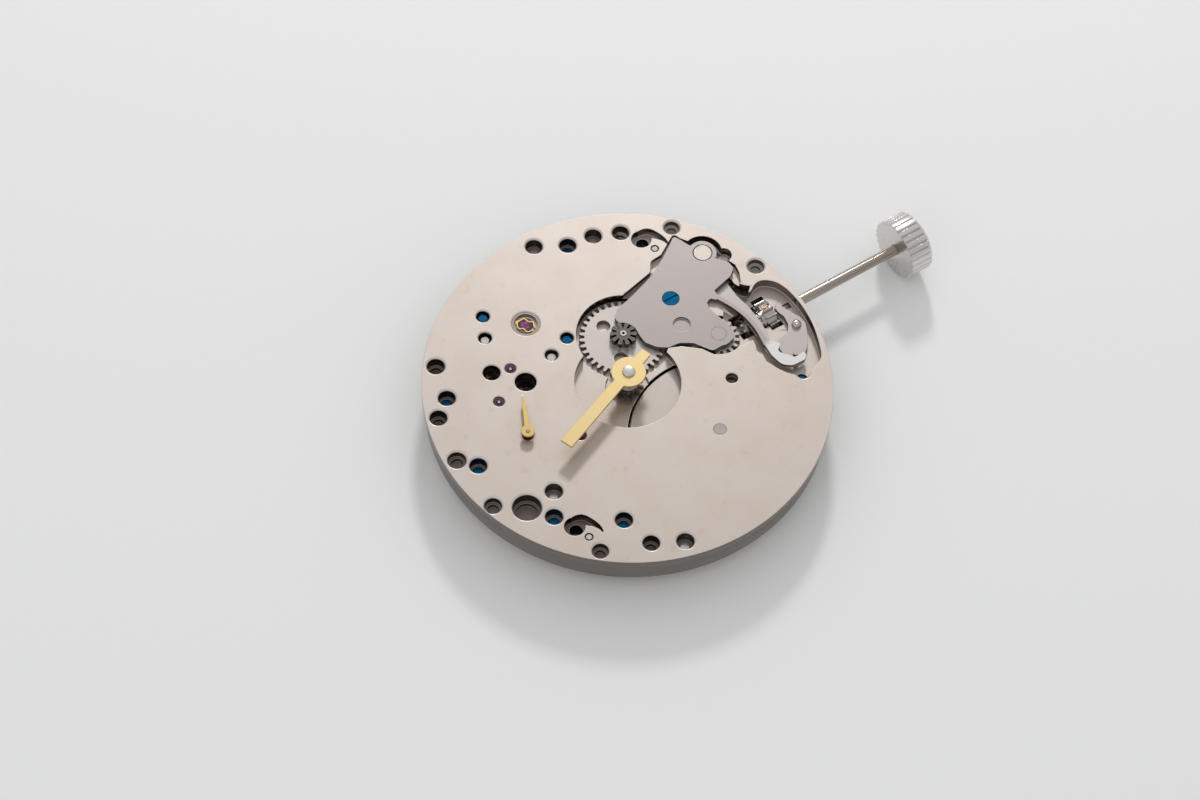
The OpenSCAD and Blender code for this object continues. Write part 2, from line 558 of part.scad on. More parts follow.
module stem_cuts() {
    stem_bore(stem_r + 0.03, pinion_x1, rim_r + 1);
    stem_bore(0.3 + fit, 9.0, clutch_end_x);
    wide = winding_pr + wind_add + side_gap;
    stem_bore(wide, pinion_x0 - 0.12, pinion_x1 + 0.08);
    stem_bore(1.12 + side_gap, ratchet_face_x - 0.4, pinion_x0);
    stem_bore(clutch_r + side_gap, clutch_end_x - clutch_travel - 0.1, clutch_x1 + clutch_tooth_h);
    slab(floor_d - eps, stem_d) {
        translate([pinion_x0 - 0.12, -wide]) square([pinion_x1 - pinion_x0 + 0.2, 2 * wide]);
        translate([ratchet_face_x - 0.4, -1.27]) square([0.8, 2.54]);
        translate([clutch_end_x - clutch_travel - 0.1, -clutch_r - side_gap])
            square([clutch_x1 - clutch_end_x + clutch_travel + 0.3, 2 * (clutch_r + side_gap)]);
        translate([lever_groove_x - 0.28, -0.6]) square([pull + 0.58, 0.6]);
    }
    slab(stem_d, back_d + eps) translate([pinion_x0 - 0.12, -wide]) square([pinion_x1 - pinion_x0 + 0.2,
        2 * wide]);
}

module main_plate() {
    color(nickel) {
        difference() {
            main_plate_body();
            dial_side_cuts();
            back_cuts();
            stem_cuts();
        }
        // Studs that carry the minute wheel, the setting wheels and the yoke
        tube(minute_at, 0.3, 0.12, -0.25, floor_d + eps);
        rod(inter_at, 0.5, jumper_d1 + 0.01, floor_d + eps);
        rod(setting_c, 0.5, jumper_d1 + 0.01, floor_d + eps);
        rod(yoke_c, yoke_stud_r, jumper_d, floor_d + eps);
    }
}

module bridge_disc() {
    circle(rim_r - bridge_inset);
}

module barrel_bridge() {
    color(nickel) difference() {
        slab(back_d, bridge_d1) intersection() {
            bridge_disc();
            polygon(outline([for (p = barrel_bridge_outline) [p[0], p[1], 0.6]]));
        }
        rod(barrel_c, ratchet_pr + wind_add + 0.2, ratchet_floor_d, bridge_d1 + eps);
        rod(crown_wheel_c, crown_wheel_pr + wind_add + 0.2, ratchet_floor_d, bridge_d1 + eps);
        rod(barrel_c, 0.9 + fit, back_d - eps, bridge_d1);
        rod(crown_wheel_c, small_screw_r, back_d - eps, bridge_d1);
        slab(back_d - eps, bridge_d1) translate([pinion_x0 - 0.12, -winding_pr - wind_add - side_gap])
            square([pinion_x1 - pinion_x0 + 0.2, 2 * (winding_pr + wind_add + side_gap)]);
        slab(ratchet_floor_d, bridge_d1 + eps) {
            at(click_c) circle(click_r + 0.25);
            polygon(strip([for (p = click_spring_line) [p[0], p[1], p[2] + 0.6]]));
            polygon(strip([[click_c[0], click_c[1], 2 * click_r + 0.4], [click_tip[0], click_tip[1],
                1.2]]));
        }
        for (p = [bridge_screw_at[0], bridge_screw_at[1]]) bridge_screw_hole(p);
        for (p = bridge_pin_at) rod(p, steady_r, back_d - eps, bridge_d1 - 0.2);
        rod(click_c, small_screw_r, back_d - eps, bridge_d1 + eps);
    }
}

module bridge_screw_hole(p) {
    rod(p, screw_r + fit, back_d - eps, bridge_d1 + eps);
    rod(p, screw_head_r + 0.08, bridge_d1 - 0.45, bridge_d1 + eps);
}

module train_bridge() {
    color(nickel) difference() {
        slab(back_d, bridge_d1) difference() {
            intersection() {
                bridge_disc();
                polygon(outline([for (p = train_bridge_outline) [p[0], p[1], 0.6]]));
            }
            at(balance_c) circle(balance_r + 0.35);
        }
        for (p = [centre_c, third_c, fourth_c, escape_c]) {
            rod(p, jewel_r, top_jewel_d, bridge_d1 + eps);
            rod(p, 0.42, back_d - eps, top_jewel_d + eps);
        }
        for (p = [bridge_screw_at[2], bridge_screw_at[3], bridge_screw_at[4]]) bridge_screw_hole(p);
        for (p = bridge_pin_at) rod(p, steady_r, back_d - eps, bridge_d1 - 0.2);
    }
}

// The pallet bridge is a crescent round the roller, with a nose over the pallet arbor
pallet_bridge_r = 3.95;
pallet_axis_a = heading(pallet_c - balance_c);
module pallet_bridge() {
    color(nickel) difference() {
        slab(fourth_wheel_d0, fourth_wheel_d0 + pallet_bridge_t) {
            difference() {
                at(balance_c) circle(pallet_bridge_r + 0.85);
                at(balance_c) circle(pallet_bridge_r - 0.85);
                at(balance_c) rotate(pallet_axis_a + 180) polygon([along(-100, 12), [12, -12], [30, 0],
                    [12, 12],
                    along(100, 12), [0, 0]]);
            }
            for (p = pallet_screw_at) at(p) circle(0.9);
            at(pallet_c) circle(0.9);
        }
        rod(pallet_c, jewel_r - 0.1, fourth_wheel_d0 + 0.12, 4);
        rod(pallet_c, 0.3, fourth_wheel_d0 - eps, 4);
        for (p = pallet_screw_at) rod(p, small_screw_r, fourth_wheel_d0 - eps, 4);
        for (p = pallet_pin_at) rod(p, 0.38, fourth_wheel_d0 - eps, 4);
    }
}

module balance_cock() {
    foot_a = heading(cock_screw_at - balance_c);
    color(nickel) difference() {
        union() {
            slab(back_d, cock_d1) intersection() {
                bridge_disc();
                polygon(cock_foot_outline);
            }
            slab(cock_d0, cock_d1) {
                at(balance_c) circle(shock_r + 0.75);
                at(balance_c) rotate(foot_a) translate([0, -cock_arm_w / 2]) square([8.2, cock_arm_w]);
            }
        }
        rod(balance_c, shock_r, cock_d1 - 0.42, cock_d1 + eps);
        rod(balance_c, shock_r - 0.2, cock_d0 - eps, cock_d1);
        rod(cock_screw_at, screw_r + fit, back_d - eps, cock_d1 + eps);
        rod(cock_screw_at, screw_head_r + 0.08, cock_d1 - 0.45, cock_d1 + eps);
        for (p = cock_pin_at) rod(p, steady_r, back_d - eps, cock_d1 - 0.3);
        // Threaded hole for the hairspring stud's carrier and the run of the balance rim
        rod(balance_c, balance_r + 0.2, back_d - eps, cock_d0);
    }
}

// A slotted screw with its head towards the back
module screw(p, r, head_r, tip_d, head_d, head_t) {
    at(p) translate([0, 0, -head_d - head_t]) difference() {
        union() {
            cylinder(r = head_r, h = head_t);
            cylinder(r = r, h = head_d + head_t - tip_d);
        }
        translate([-head_r - 1, -0.13, -eps]) cube([2 * head_r + 2, 0.26, head_t * 0.45]);
    }
}

module bridge_screws() {
    color(blued) {
        for (p = bridge_screw_at) screw(p, screw_r, screw_head_r, screw_tip_d, bridge_d1 - 0.45, 0.5);
        screw(cock_screw_at, screw_r, screw_head_r, screw_tip_d, cock_d1 - 0.45, 0.5);
    }
}

module small_screws() {
    color(blued) {
        for (p = pallet_screw_at)
            screw(p, small_screw_r, 0.62, 0.35, fourth_wheel_d0 + pallet_bridge_t, 0.25);
        screw(click_c, small_screw_r, 0.7, back_d + 0.1, ratchet_d1 + 0.03, 0.25);
    }
}

module steady_pins() {
    color(steel) {
        for (p = bridge_pin_at) rod(p, steady_r, screw_tip_d, bridge_d1 - 0.2);
        for (p = cock_pin_at) rod(p, steady_r, screw_tip_d, cock_d1 - 0.3);
        for (p = pallet_pin_at) rod(p, 0.38, 0.45, fourth_wheel_d0 + pallet_bridge_t);
        for (p = dial_foot_at) rod(p + foot_pin, 0.26, 0.02, 1.15);
    }
}

// A pressed-in jewel with its oil cup towards one side
module jewel(p, r, bore, d0, t) {
    at(p) translate([0, 0, -d0 - t]) rotate_extrude()
        polygon([[bore, 0], [r, 0], [r, t], [0.3, t], [bore, t - 0.15]]);
}

module plate_jewels() {
    color(ruby) {
        for (p = [escape_c, pallet_c, third_c]) jewel(p, jewel_r, pivot_r + fit, plate_jewel_d, jewel_t);
        jewel(fourth_c, jewel_r, 0.17 + fit, plate_jewel_d, jewel_t);
        tube(centre_c, 0.85, 0.6 + fit, 1.02, 1.35);
    }
}

module bridge_jewels() {
    color(ruby) {
        for (p = [third_c, fourth_c, escape_c]) tube(p, jewel_r, pivot_r + fit, top_jewel_d,
            top_jewel_d + jewel_t);
        tube(centre_c, jewel_r, 0.2 + fit, top_jewel_d, top_jewel_d + jewel_t);
        tube(pallet_c, jewel_r - 0.1, pivot_r + fit, fourth_wheel_d0 + 0.12,
            fourth_wheel_d0 + pallet_bridge_t);
    }
}

// The shock settings: the lower one faces the dial, the upper one the back
setting_h = 0.42;
lower_setting_d = 0.08;
upper_setting_d = cock_d1 - setting_h;
module shock_ring(flip) {
    mirror([0, 0, flip]) rotate_extrude() polygon([[0.55, -setting_h], [shock_r, -setting_h],
        [shock_r, 0],
        [shock_r - 0.22, 0], [shock_r - 0.22, -0.22], [0.8, -0.22], [0.8, -0.1], [0.7, -0.1],
        [0.7, -0.24], [0.55, -0.3]]);
}

module shock_settings() {
    color(brass) {
        at(balance_c) translate([0, 0, -lower_setting_d]) shock_ring(0);
        at(balance_c) translate([0, 0, -cock_d1]) shock_ring(1);
    }
}

// The lyre spring that holds a cap jewel
module lyre() {
    polygon(strip([[-0.9, 0.19, 0.22], [-0.72, 0.26, 0.18], [-0.44, 0.46, 0.12], [-0.2, 0.6, 0.12],
        [0.0, 0.5, 0.12], [0.17, 0.35, 0.12], [0.37, 0.28, 0.12], [0.58, 0.3, 0.12],
        [0.7, 0.14, 0.12], [0.74, -0.1, 0.12], [0.82, -0.26, 0.12], [0.92, -0.33, 0.12]]));
    polygon(strip([[-0.9, 0.19, 0.22], [-0.76, 0.04, 0.13], [-0.76, -0.2, 0.12], [-0.64, -0.42, 0.12],
        [-0.49, -0.52, 0.12], [-0.27, -0.46, 0.12], [-0.12, -0.54, 0.12], [0.02, -0.7, 0.12],
        [0.17, -0.81, 0.12], [0.37, -0.75, 0.12], [0.56, -0.62, 0.12], [0.76, -0.57, 0.13]]));
}

module shock_springs() {
    color(brass) {
        at(balance_c) slab(lower_setting_d + 0.02, lower_setting_d + 0.06) rotate(-34) lyre();
        at(balance_c) slab(cock_d1 - 0.06, cock_d1 - 0.02) rotate(20) lyre();
    }
}

module cap_jewels() {
    color(ruby) {
        at(balance_c) slab(lower_setting_d + 0.07, lower_setting_d + 0.23) circle(0.69);
        at(balance_c) slab(cock_d1 - 0.23, cock_d1 - 0.07) circle(0.69);
    }
}

module barrel_drum() {
    inner = drum_r - drum_wall;
    color(brass) at(barrel_c) {
        translate([0, 0, -drum_d1]) rotate_extrude(convexity = 4)
            polygon([[0.85 + fit, drum_h], [0.85 + fit, drum_h - 0.3], [inner, drum_h - 0.3], [inner, 0],
                [drum_r, 0],
                [drum_r, drum_h - 0.08], [drum_r - 0.08, drum_h]]);
        slab(barrel_tooth_d0, drum_d1) difference() {
            polygon(plain_row(barrel_z, barrel_pr, barrel_add, 0.17, wheel_w, barrel_phase));
            circle(drum_r - 0.05);
        }
    }
}

module barrel_cover() {
    color(brass) tube(barrel_c, drum_r - drum_wall - fit, 0.85 + fit, drum_d1 - 0.26, drum_d1 - 0.04);
}

module mainspring() {
    color(steel) at(barrel_c) slab(drum_d0 + 0.36, drum_d1 - 0.32)
        polygon(spiral(1.55 + mainspring_t, drum_r - drum_wall - mainspring_t, mainspring_turns,
            mainspring_t, 24));
}

module barrel_arbor() {
    color(steel) {
        rod(barrel_c, barrel_pivot_r, 0.03, drum_d0 - 0.05);
        rod(barrel_c, 0.85, drum_d0 - 0.05 - eps, drum_d0 + 0.34);
        rod(barrel_c, 1.5, drum_d0 + 0.33, drum_d1 - 0.3);
        rod(barrel_c, 0.85, drum_d1 - 0.3 - eps, back_d - 0.05);
        rod(barrel_c, 0.9, back_d - 0.05 - eps, ratchet_floor_d + 0.02);
        at(barrel_c) slab(ratchet_floor_d, ratchet_d1 - 0.02) square(1.2, center = true);
    }
}

module ratchet_wheel() {
    color(steel) at(barrel_c) slab(ratchet_d0, ratchet_d1) difference() {
        polygon(plain_row(ratchet_z, ratchet_pr, wind_add, wind_ded, 0.46, ratchet_phase));
        square(1.2, center = true);
    }
}

module ratchet_screw() {
    color(blued) at(barrel_c) translate([0, 0, -ratchet_d1 - 0.32]) difference() {
        rotate_extrude() polygon([[0, 0], [1.6, 0], [1.7, 0.1], [1.7, 0.32], [0, 0.32]]);
        translate([-3, -0.18, -eps]) cube([6, 0.36, 0.16]);
    }
}

// The click stands a hair clear of the ratchet teeth
click_r = 0.95;
click_tip = barrel_c + along(heading(click_c - barrel_c) + 16, ratchet_pr + wind_add + 0.06);
click_a = heading(click_tip - click_c);
click_spring_line = [[8.7, -13.95, 0.6], [9.9, -13.5, 0.26], [11.2, -12.7, 0.18], [12.22, -11.74, 0.16]];
module click() {
    color(steel) difference() {
        slab(ratchet_d0, ratchet_d1) {
            at(click_c) circle(click_r);
            polygon(ordered([click_tip, click_c + turn([0.5, 0.75], click_a - 90),
                click_c + turn([-0.9, 0.2], click_a - 90)]));
        }
        rod(click_c, small_screw_r + fit, ratchet_d0 - eps, ratchet_d1 + eps);
    }
}

module click_spring() {
    color(steel) slab(ratchet_floor_d, ratchet_d1 - 0.1) polygon(strip(click_spring_line));
}

// The crown wheel is relieved under its rim, so that the winding pinion meets its teeth alone
module crown_wheel() {
    color(steel) difference() {
        at(crown_wheel_c) slab(ratchet_d0, ratchet_d1) difference() {
            polygon(plain_row(crown_wheel_z, crown_wheel_pr, wind_add, wind_ded, 0.36,
                crown_wheel_phase));
            circle(1.8 + fit);
        }
        tube(crown_wheel_c, crown_wheel_pr - wind_ded + 0.02, pinion_x0 - crown_wheel_c[0] - 0.15,
            ratchet_d0 - eps,
            stem_d + winding_pr + wind_add + 0.04);
    }
}

module crown_wheel_core() {
    color(steel) tube(crown_wheel_c, 1.8, small_screw_r, ratchet_floor_d, ratchet_d1 + 0.02);
}

module crown_wheel_screw() {
    color(blued) at(crown_wheel_c) translate([0, 0, -ratchet_d1 - 0.32]) difference() {
        union() {
            cylinder(r = 2.3, h = 0.28);
            cylinder(r = small_screw_r, h = ratchet_d1 + 0.32 - back_d - 0.05);
        }
        translate([-3, -0.18, -eps]) cube([6, 0.36, 0.14]);
    }
}

// A turned arbor: a list of [depth, radius] steps from the dial side to the back
module arbor(p, steps) {
    at(p) rotate_extrude() polygon(concat([[0, -steps[0][0]]],
        flat([for (i = [0 : len(steps) - 2]) [[steps[i][1], -steps[i][0]], [steps[i][1],
            -steps[i + 1][0]]]]),
        [[0, -steps[len(steps) - 1][0]]]));
}

module leaves(p, z, r, add, ded, phase, d0, d1) {
    at(p) slab(d0, d1) polygon(tooth_row(z, r, add, ded, leaf_w, phase));
}

// A train wheel with crossed-out arms
module train_wheel(p, z, r, add, phase, d0, hub, bore, arms) {
    at(p) slab(d0, d0 + wheel_t) {
        difference() {
            polygon(plain_row(z, r, add, train_ded, wheel_w, phase));
            circle(r - train_ded - 0.35);
        }
        difference() {
            union() {
                circle(hub);
                for (k = [0 : arms - 1]) rotate(phase + 20 + k * 360 / arms)
                    translate([0, -0.22]) square([r - train_ded - 0.2, 0.44]);
            }
            circle(bore);
        }
    }
}

shoulder_d = jewel_seat_d + 0.03;
top_shoulder_d = top_jewel_d - 0.03;

module centre_arbor() {
    color(steel) {
        arbor(centre_c, [[-0.9, 0.5], [hour_recess_d, 0.6], [1.38, 0.8], [centre_wheel_d1 + 0.06, 0.35],
            [top_shoulder_d, 0.2], [top_jewel_d + 0.4, 0]]);
        leaves(centre_c, centre_pin_z, centre_pin_pr, leaf_add + 0.08, 0.32, centre_pin_phase,
            barrel_tooth_d0 - 0.2,
            centre_wheel_d0);
    }
}

module centre_wheel() {
    color(brass) train_wheel(centre_c, centre_z, centre_pr, train_add, centre_phase, centre_wheel_d0,
        1.5, 0.8, 5);
}

module third_pinion() {
    color(steel) {
        arbor(third_c, [[jewel_seat_d - 0.4, pivot_r], [shoulder_d, 0.32], [third_wheel_d0, 0.4],
            [third_wheel_d0 + wheel_t + 0.1, 0.3], [top_shoulder_d, pivot_r], [top_jewel_d + 0.4, 0]]);
        leaves(third_c, third_pin_z, third_pin_pr, leaf_add, 0.25, third_pin_phase,
            centre_wheel_d0 - 0.12,
            centre_wheel_d1 + 0.04);
    }
}

module third_wheel() {
    color(brass) train_wheel(third_c, third_z, third_pr, train_add, third_phase, third_wheel_d0, 0.9,
        0.4, 5);
}

module fourth_pinion() {
    color(steel) {
        arbor(fourth_c, [[-seconds_hand_z - 0.25, 0.17], [shoulder_d, 0.32], [fourth_wheel_d0, 0.4],
            [fourth_wheel_d0 + wheel_t + 0.1, 0.3], [top_shoulder_d, pivot_r], [top_jewel_d + 0.4, 0]]);
        leaves(fourth_c, fourth_pin_z, fourth_pin_pr, leaf_add, 0.22, fourth_pin_phase,
            third_wheel_d0 - 0.12,
            third_wheel_d0 + wheel_t + 0.12);
    }
}

module fourth_wheel() {
    color(brass) train_wheel(fourth_c, fourth_z, fourth_pr, train_add, fourth_phase, fourth_wheel_d0,
        0.9, 0.4, 5);
}

module escape_pinion() {
    color(steel) {
        arbor(escape_c, [[jewel_seat_d - 0.4, pivot_r], [shoulder_d, 0.25], [escape_wheel_d0, 0.3],
            [escape_wheel_d0 + wheel_t + 0.05, 0.2], [top_shoulder_d, pivot_r], [top_jewel_d + 0.4, 0]]);
        leaves(escape_c, escape_pin_z, escape_pin_pr, leaf_add, 0.18, escape_pin_phase,
            fourth_wheel_d0 - 0.08,
            fourth_wheel_d0 + wheel_t + 0.08);
    }
}

// Club teeth: each leans forward and ends in a small sloped face
module escape_wheel() {
    a = 360 / escape_z;
    root = escape_r - 0.75;
    color(steel) at(escape_c) slab(escape_wheel_d0, escape_wheel_d0 + wheel_t) rotate(4) {
        difference() {
            polygon(flat([for (k = [0 : escape_z - 1]) [along(k * a, root), along(k * a + 3, root + 0.3),
                along(k * a + 8.5, escape_r - 0.1), along(k * a + 11.5, escape_r), along(k * a + 12,
                    escape_r - 0.12),
                along(k * a + 9.5, root + 0.25), along(k * a + 11, root)]]));
            circle(root - 0.3);
        }
        difference() {
            union() {
                circle(0.65);
                for (k = [0 : 3]) rotate(k * 90) translate([0, -0.17]) square([root - 0.15, 0.34]);
            }
            circle(0.3);
        }
    }
}

// The pallet fork, drawn along the line from the pallet arbor to the balance
fork_l = norm(balance_c - pallet_c);
fork_a = heading(balance_c - pallet_c);
jewel_path_r = 0.74;
stone_at = [for (s = [-1, 1]) escape_c + along(heading(pallet_c - escape_c) + s * 30, escape_r + 0.04)];
module pallet_fork() {
    horn = fork_l - jewel_path_r + 0.12;
    color(steel) at(pallet_c) slab(fork_d0 - 0.12, fork_d0 + eps) rotate(fork_a)
        translate([horn - 1, -0.06]) square([fork_l - 0.62 - horn + 1, 0.12]);
    color(steel) at(pallet_c) difference() {
        slab(fork_d0, fork_d1) {
            circle(0.55);
            for (p = stone_at) let (q = p - pallet_c)
                polygon(strip([[0, 0, 0.7], [q[0] * 0.55, q[1] * 0.55, 0.5], [q[0] * 1.02, q[1] * 1.02,
                    0.55]]));
            rotate(fork_a) difference() {
                polygon([[0, -0.3], [horn - 0.9, -0.17], [horn - 0.45, -0.45], [horn, -0.42],
                    [horn, 0.42],
                    [horn - 0.45, 0.45], [horn - 0.9, 0.17], [0, 0.3]]);
                translate([horn - 0.37, -0.19]) square([1, 0.38]);
            }
        }
        slab(fork_d0 - eps, fork_d1 + eps) circle(0.3);
    }
}

module pallet_stones() {
    color(ruby) for (k = [0, 1]) {
        at(stone_at[k]) rotate(heading(stone_at[k] - escape_c) + (k == 0 ? 12 : -12))
            slab(escape_wheel_d0 - 0.03, fork_d0) translate([0.02, -0.16]) square([0.5, 0.32]);
    }
}

module pallet_arbor() {
    color(steel) arbor(pallet_c, [[jewel_seat_d - 0.4, pivot_r], [shoulder_d, 0.3],
        [fork_d1 + 0.05, 0.2], [fourth_wheel_d0 + 0.09, pivot_r], [fourth_wheel_d0 + 0.42, 0]]);
}

// The balance
roller_d0 = fork_d1 + 0.15;
roller_d1 = roller_d0 + 0.16;
module balance_staff() {
    color(steel) arbor(balance_c, [[0.36, 0.07], [0.75, 0.22], [fork_d0 - 0.3, 0.3], [balance_d0, 0.45],
        [balance_d1 - 0.1, 0.35], [cock_d0 - 0.02, 0.2], [cock_d1 - 0.5, 0.07], [cock_d1 - 0.27, 0]]);
}

module balance_wheel() {
    inner = balance_r - balance_rim_w;
    color(brass) at(balance_c) {
        slab(balance_d0, balance_d1) difference() {
            circle(balance_r);
            circle(inner);
        }
        slab(balance_d0 + 0.08, balance_d1 - 0.12) difference() {
            union() {
                circle(0.9);
                for (k = [0 : 2]) rotate(40 + k * 120) translate([0, -0.3]) square([inner + 0.1, 0.6]);
            }
            circle(0.45);
        }
    }
}

module roller_table() {
    color(steel) at(balance_c) {
        slab(roller_d0, roller_d1) difference() {
            circle(1.05);
            circle(0.3);
            rotate(fork_a + 180) translate([jewel_path_r, 0]) circle(0.16);
        }
        slab(fork_d0 - 0.02, roller_d0 + eps) difference() {
            circle(0.4);
            circle(0.3);
        }
        slab(fork_d0 - 0.14, fork_d0 - 0.02 + eps) difference() {
            circle(0.5);
            circle(0.3);
            rotate(fork_a + 180) translate([0.62, 0]) circle(0.2);
        }
    }
}

module impulse_jewel() {
    color(ruby) at(balance_c + along(fork_a + 180, jewel_path_r))
        slab(fork_d0 + 0.02, roller_d1) circle(0.16);
}

stud_a = 250;
hairspring_r0 = 0.72;
module hairspring() {
    color(blued) at(balance_c) slab(hairspring_d0, hairspring_d1)
        rotate(stud_a) polygon(spiral(hairspring_r0, hairspring_r, hairspring_turns, 0.06, 36));
}

module hairspring_collet() {
    color(brass) tube(balance_c, 0.62, 0.35, hairspring_d0 - 0.02, hairspring_d1 + 0.02);
}

stud_r = hairspring_r + 0.03;
module hairspring_stud() {
    color(steel) difference() {
        rod(balance_c + along(stud_a, stud_r), 0.26, hairspring_d0 - 0.04, cock_d1 + 0.02);
        at(balance_c) rotate(stud_a) slab(hairspring_d0 - 0.05,
            hairspring_d1) translate([stud_r - 0.09, -1])
            square([0.12, 2]);
    }
}

// Seated round the shock setting, on the back of the cock
module stud_carrier() {
    color(steel) at(balance_c) slab(cock_d1, cock_d1 + 0.12) difference() {
        union() {
            circle(shock_r + 0.45);
            rotate(stud_a) translate([0, -0.4]) square([stud_r, 0.8]);
            at(along(stud_a, stud_r)) circle(0.5);
        }
        circle(shock_r - 0.1);
        at(along(stud_a, stud_r)) circle(0.26);
    }
}

regulator_a = 120;
regulated_r = hairspring_r - (hairspring_r - hairspring_r0) * (stud_a - regulator_a)
    / 360 / hairspring_turns;
module regulator() {
    color(steel) at(balance_c) {
        slab(cock_d1 + 0.14, cock_d1 + 0.24) difference() {
            union() {
                circle(shock_r + 0.4);
                rotate(regulator_a) polygon([[0.5, 0.5], [2.7, 0.3], [3.1, 0], [2.7, -0.3], [0.5, -0.5]]);
                rotate(regulator_a + 170) polygon([[0.5, 0.35], [4.4, 0.14], [4.4, -0.14], [0.5, -0.35]]);
            }
            circle(shock_r - 0.1);
        }
        for (s = [-1, 1]) rotate(regulator_a) at([regulated_r + s * 0.105, 0])
            slab(hairspring_d0 + 0.02, cock_d1 + 0.15) circle(0.05);
    }
}

// Turned pieces along the stem: a list of [x, radius] steps
module turned(steps) {
    translate([0, 0, -stem_d]) rotate([0, 90, 0]) rotate_extrude() polygon(concat([[0, steps[0][0]]],
        flat([for (i = [0 : len(steps) - 2]) [[steps[i][1], steps[i][0]], [steps[i][1],
            steps[i + 1][0]]]]),
        [[0, steps[len(steps) - 1][0]]]));
}

// A flat shape stood across the stem, from x0 to x1
module across(x0, x1) {
    translate([x0, 0, -stem_d]) rotate([0, 90, 0]) linear_extrude(x1 - x0) children();
}

module stem() {
    color(steel) {
        turned([[9.1, 0.3], [clutch_end_x - 0.5, 0]]);
        across(clutch_end_x - 0.5 - eps, ratchet_face_x - 0.1) square(square_w, center = true);
        turned([[ratchet_face_x - 0.1 - eps, stem_r], [lever_groove_x - lever_groove_w / 2, 0.34],
            [lever_groove_x + lever_groove_w / 2, stem_r], [rim_r - 0.6, thread_r], [crown_x + 1.4, 0]]);
    }
}

module crown() {
    color(steel) {
        difference() {
            across(crown_x, crown_x + crown_w) polygon(flat([for (k = [0 : crown_ribs - 1])
                let (a = k * 360 / crown_ribs, h = 360 / crown_ribs)
                [along(a, crown_r - crown_notch), along(a + h * 0.2, crown_r),
                along(a + h * 0.8, crown_r)]]));
            turned([[crown_x - 1, thread_r], [crown_x + 1.4, 0]]);
        }
        turned([[crown_x + crown_w - eps, crown_r - crown_notch - 0.13], [crown_x + crown_w + 0.18, 0]]);
    }
}

// A ring of teeth on the end of a turned piece, between two radii
module face_teeth(z, r, bore, x0, x1, width, phase) {
    h = 180 / z * width;
    across(x0, x1) for (k = [0 : z - 1]) rotate(phase + k * 360 / z)
        polygon([along(-h, bore), along(-h, r), along(h, r), along(h, bore)]);
}

module winding_pinion() {
    color(steel) {
        difference() {
            union() {
                across(pinion_x0, pinion_x1)
                    polygon(tooth_row(winding_z, winding_pr, wind_add, wind_ded, 0.33, 180 / winding_z));
                turned([[ratchet_face_x, 1.12], [pinion_x0 + eps, 0]]);
            }
            turned([[ratchet_face_x - 1, stem_r + fit], [pinion_x1 + 1, 0]]);
        }
        face_teeth(10, 1.08, stem_r + fit + 0.05, ratchet_face_x - clutch_tooth_h, ratchet_face_x + eps,
            0.42, 0);
    }
}

module sliding_clutch() {
    color(steel) {
        difference() {
            turned([[clutch_x0, clutch_r], [clutch_groove_x, groove_r],
                [clutch_groove_x + groove_w, clutch_flange_r],
                [clutch_x1, 0]]);
            across(clutch_x0 - 1, clutch_x1 + 1) square(square_w + 2 * fit, center = true);
        }
        face_teeth(10, clutch_flange_r - 0.04, 0.7, clutch_x1 - eps, clutch_x1 + clutch_tooth_h, 0.42, 18);
        face_teeth(12, clutch_r - 0.04, 0.75, clutch_end_x, clutch_x0 + eps, 0.45, 0);
    }
}

lever_pin = [14.52, -5.33];
module setting_lever() {
    color(steel) {
        difference() {
            slab(set_d0, set_d1) polygon(lever_outline);
            rod(lever_c, 0.3 + fit, set_d0 - eps, set_d1 + eps);
        }
        rod(lever_pin, 0.22, jumper_d + 0.04, set_d0 + eps);
        rod([lever_groove_x, -0.25], 0.2, set_d1 - eps, stem_d - 0.38);
    }
}

// Its small domed head holds the lever down
module setting_lever_screw() {
    color(steel) at(lever_c) {
        slab(set_d0 - eps, 1.5) circle(0.3);
        translate([0, 0, -set_d0]) rotate_extrude()
            polygon([[0, 0], [0.45, 0], [0.45, 0.1], [0.4, 0.24], [0.25, 0.34], [0.1, 0.36], [0, 0.33]]);
    }
}

// The yoke is thinned where it passes over the clutch, and its finger reaches down into the groove
module yoke() {
    color(steel) {
        difference() {
            slab(set_d0, set_d1) {
                polygon(yoke_outline);
                at(yoke_c) circle(1.25);
            }
            rod(yoke_c, yoke_stud_r + fit, set_d0 - eps, set_d1 + eps);
            slab(stem_d - clutch_flange_r - 0.05, set_d1 + eps) translate([11, -1.3]) square([4, 2.6]);
        }
        slab(stem_d - clutch_flange_r - 0.06, stem_d - groove_r - 0.04)
            translate([clutch_groove_x + 0.06, -0.3]) square([groove_w - 0.12, 0.6]);
    }
}

module yoke_spring() {
    color(steel) slab(set_d0 + 0.16, set_d1) {
        polygon(strip([[13.0, 9.55, 0.14], [13.9, 9.5, 0.15], [14.7, 9.0, 0.16], [15.0, 8.1, 0.17],
            [15.12, 7.25, 0.18]]));
        at([15.0, 6.85]) circle(0.42);
    }
}

module lever_jumper() {
    color(steel) difference() {
        slab(jumper_d, jumper_d1) {
            polygon(jumper_outline);
            at(setting_c) circle(1.3);
            at(yoke_c) circle(1.3);
            polygon(strip(arm_line));
            polygon(sickle_outline);
        }
        rod(jumper_screw_c, 0.42, jumper_d - eps, jumper_d1 + eps);
        rod(jumper_screw_c, 0.79, jumper_d - eps, jumper_d + 0.25);
        rod(yoke_c, yoke_stud_r + 0.06, jumper_d - eps, jumper_d1 + eps);
        rod(inter_at, 0.8, jumper_d - eps, jumper_d + 0.2);
        tube(setting_c, 0.76, 0.68, jumper_d - eps, jumper_d + 0.06);
    }
}

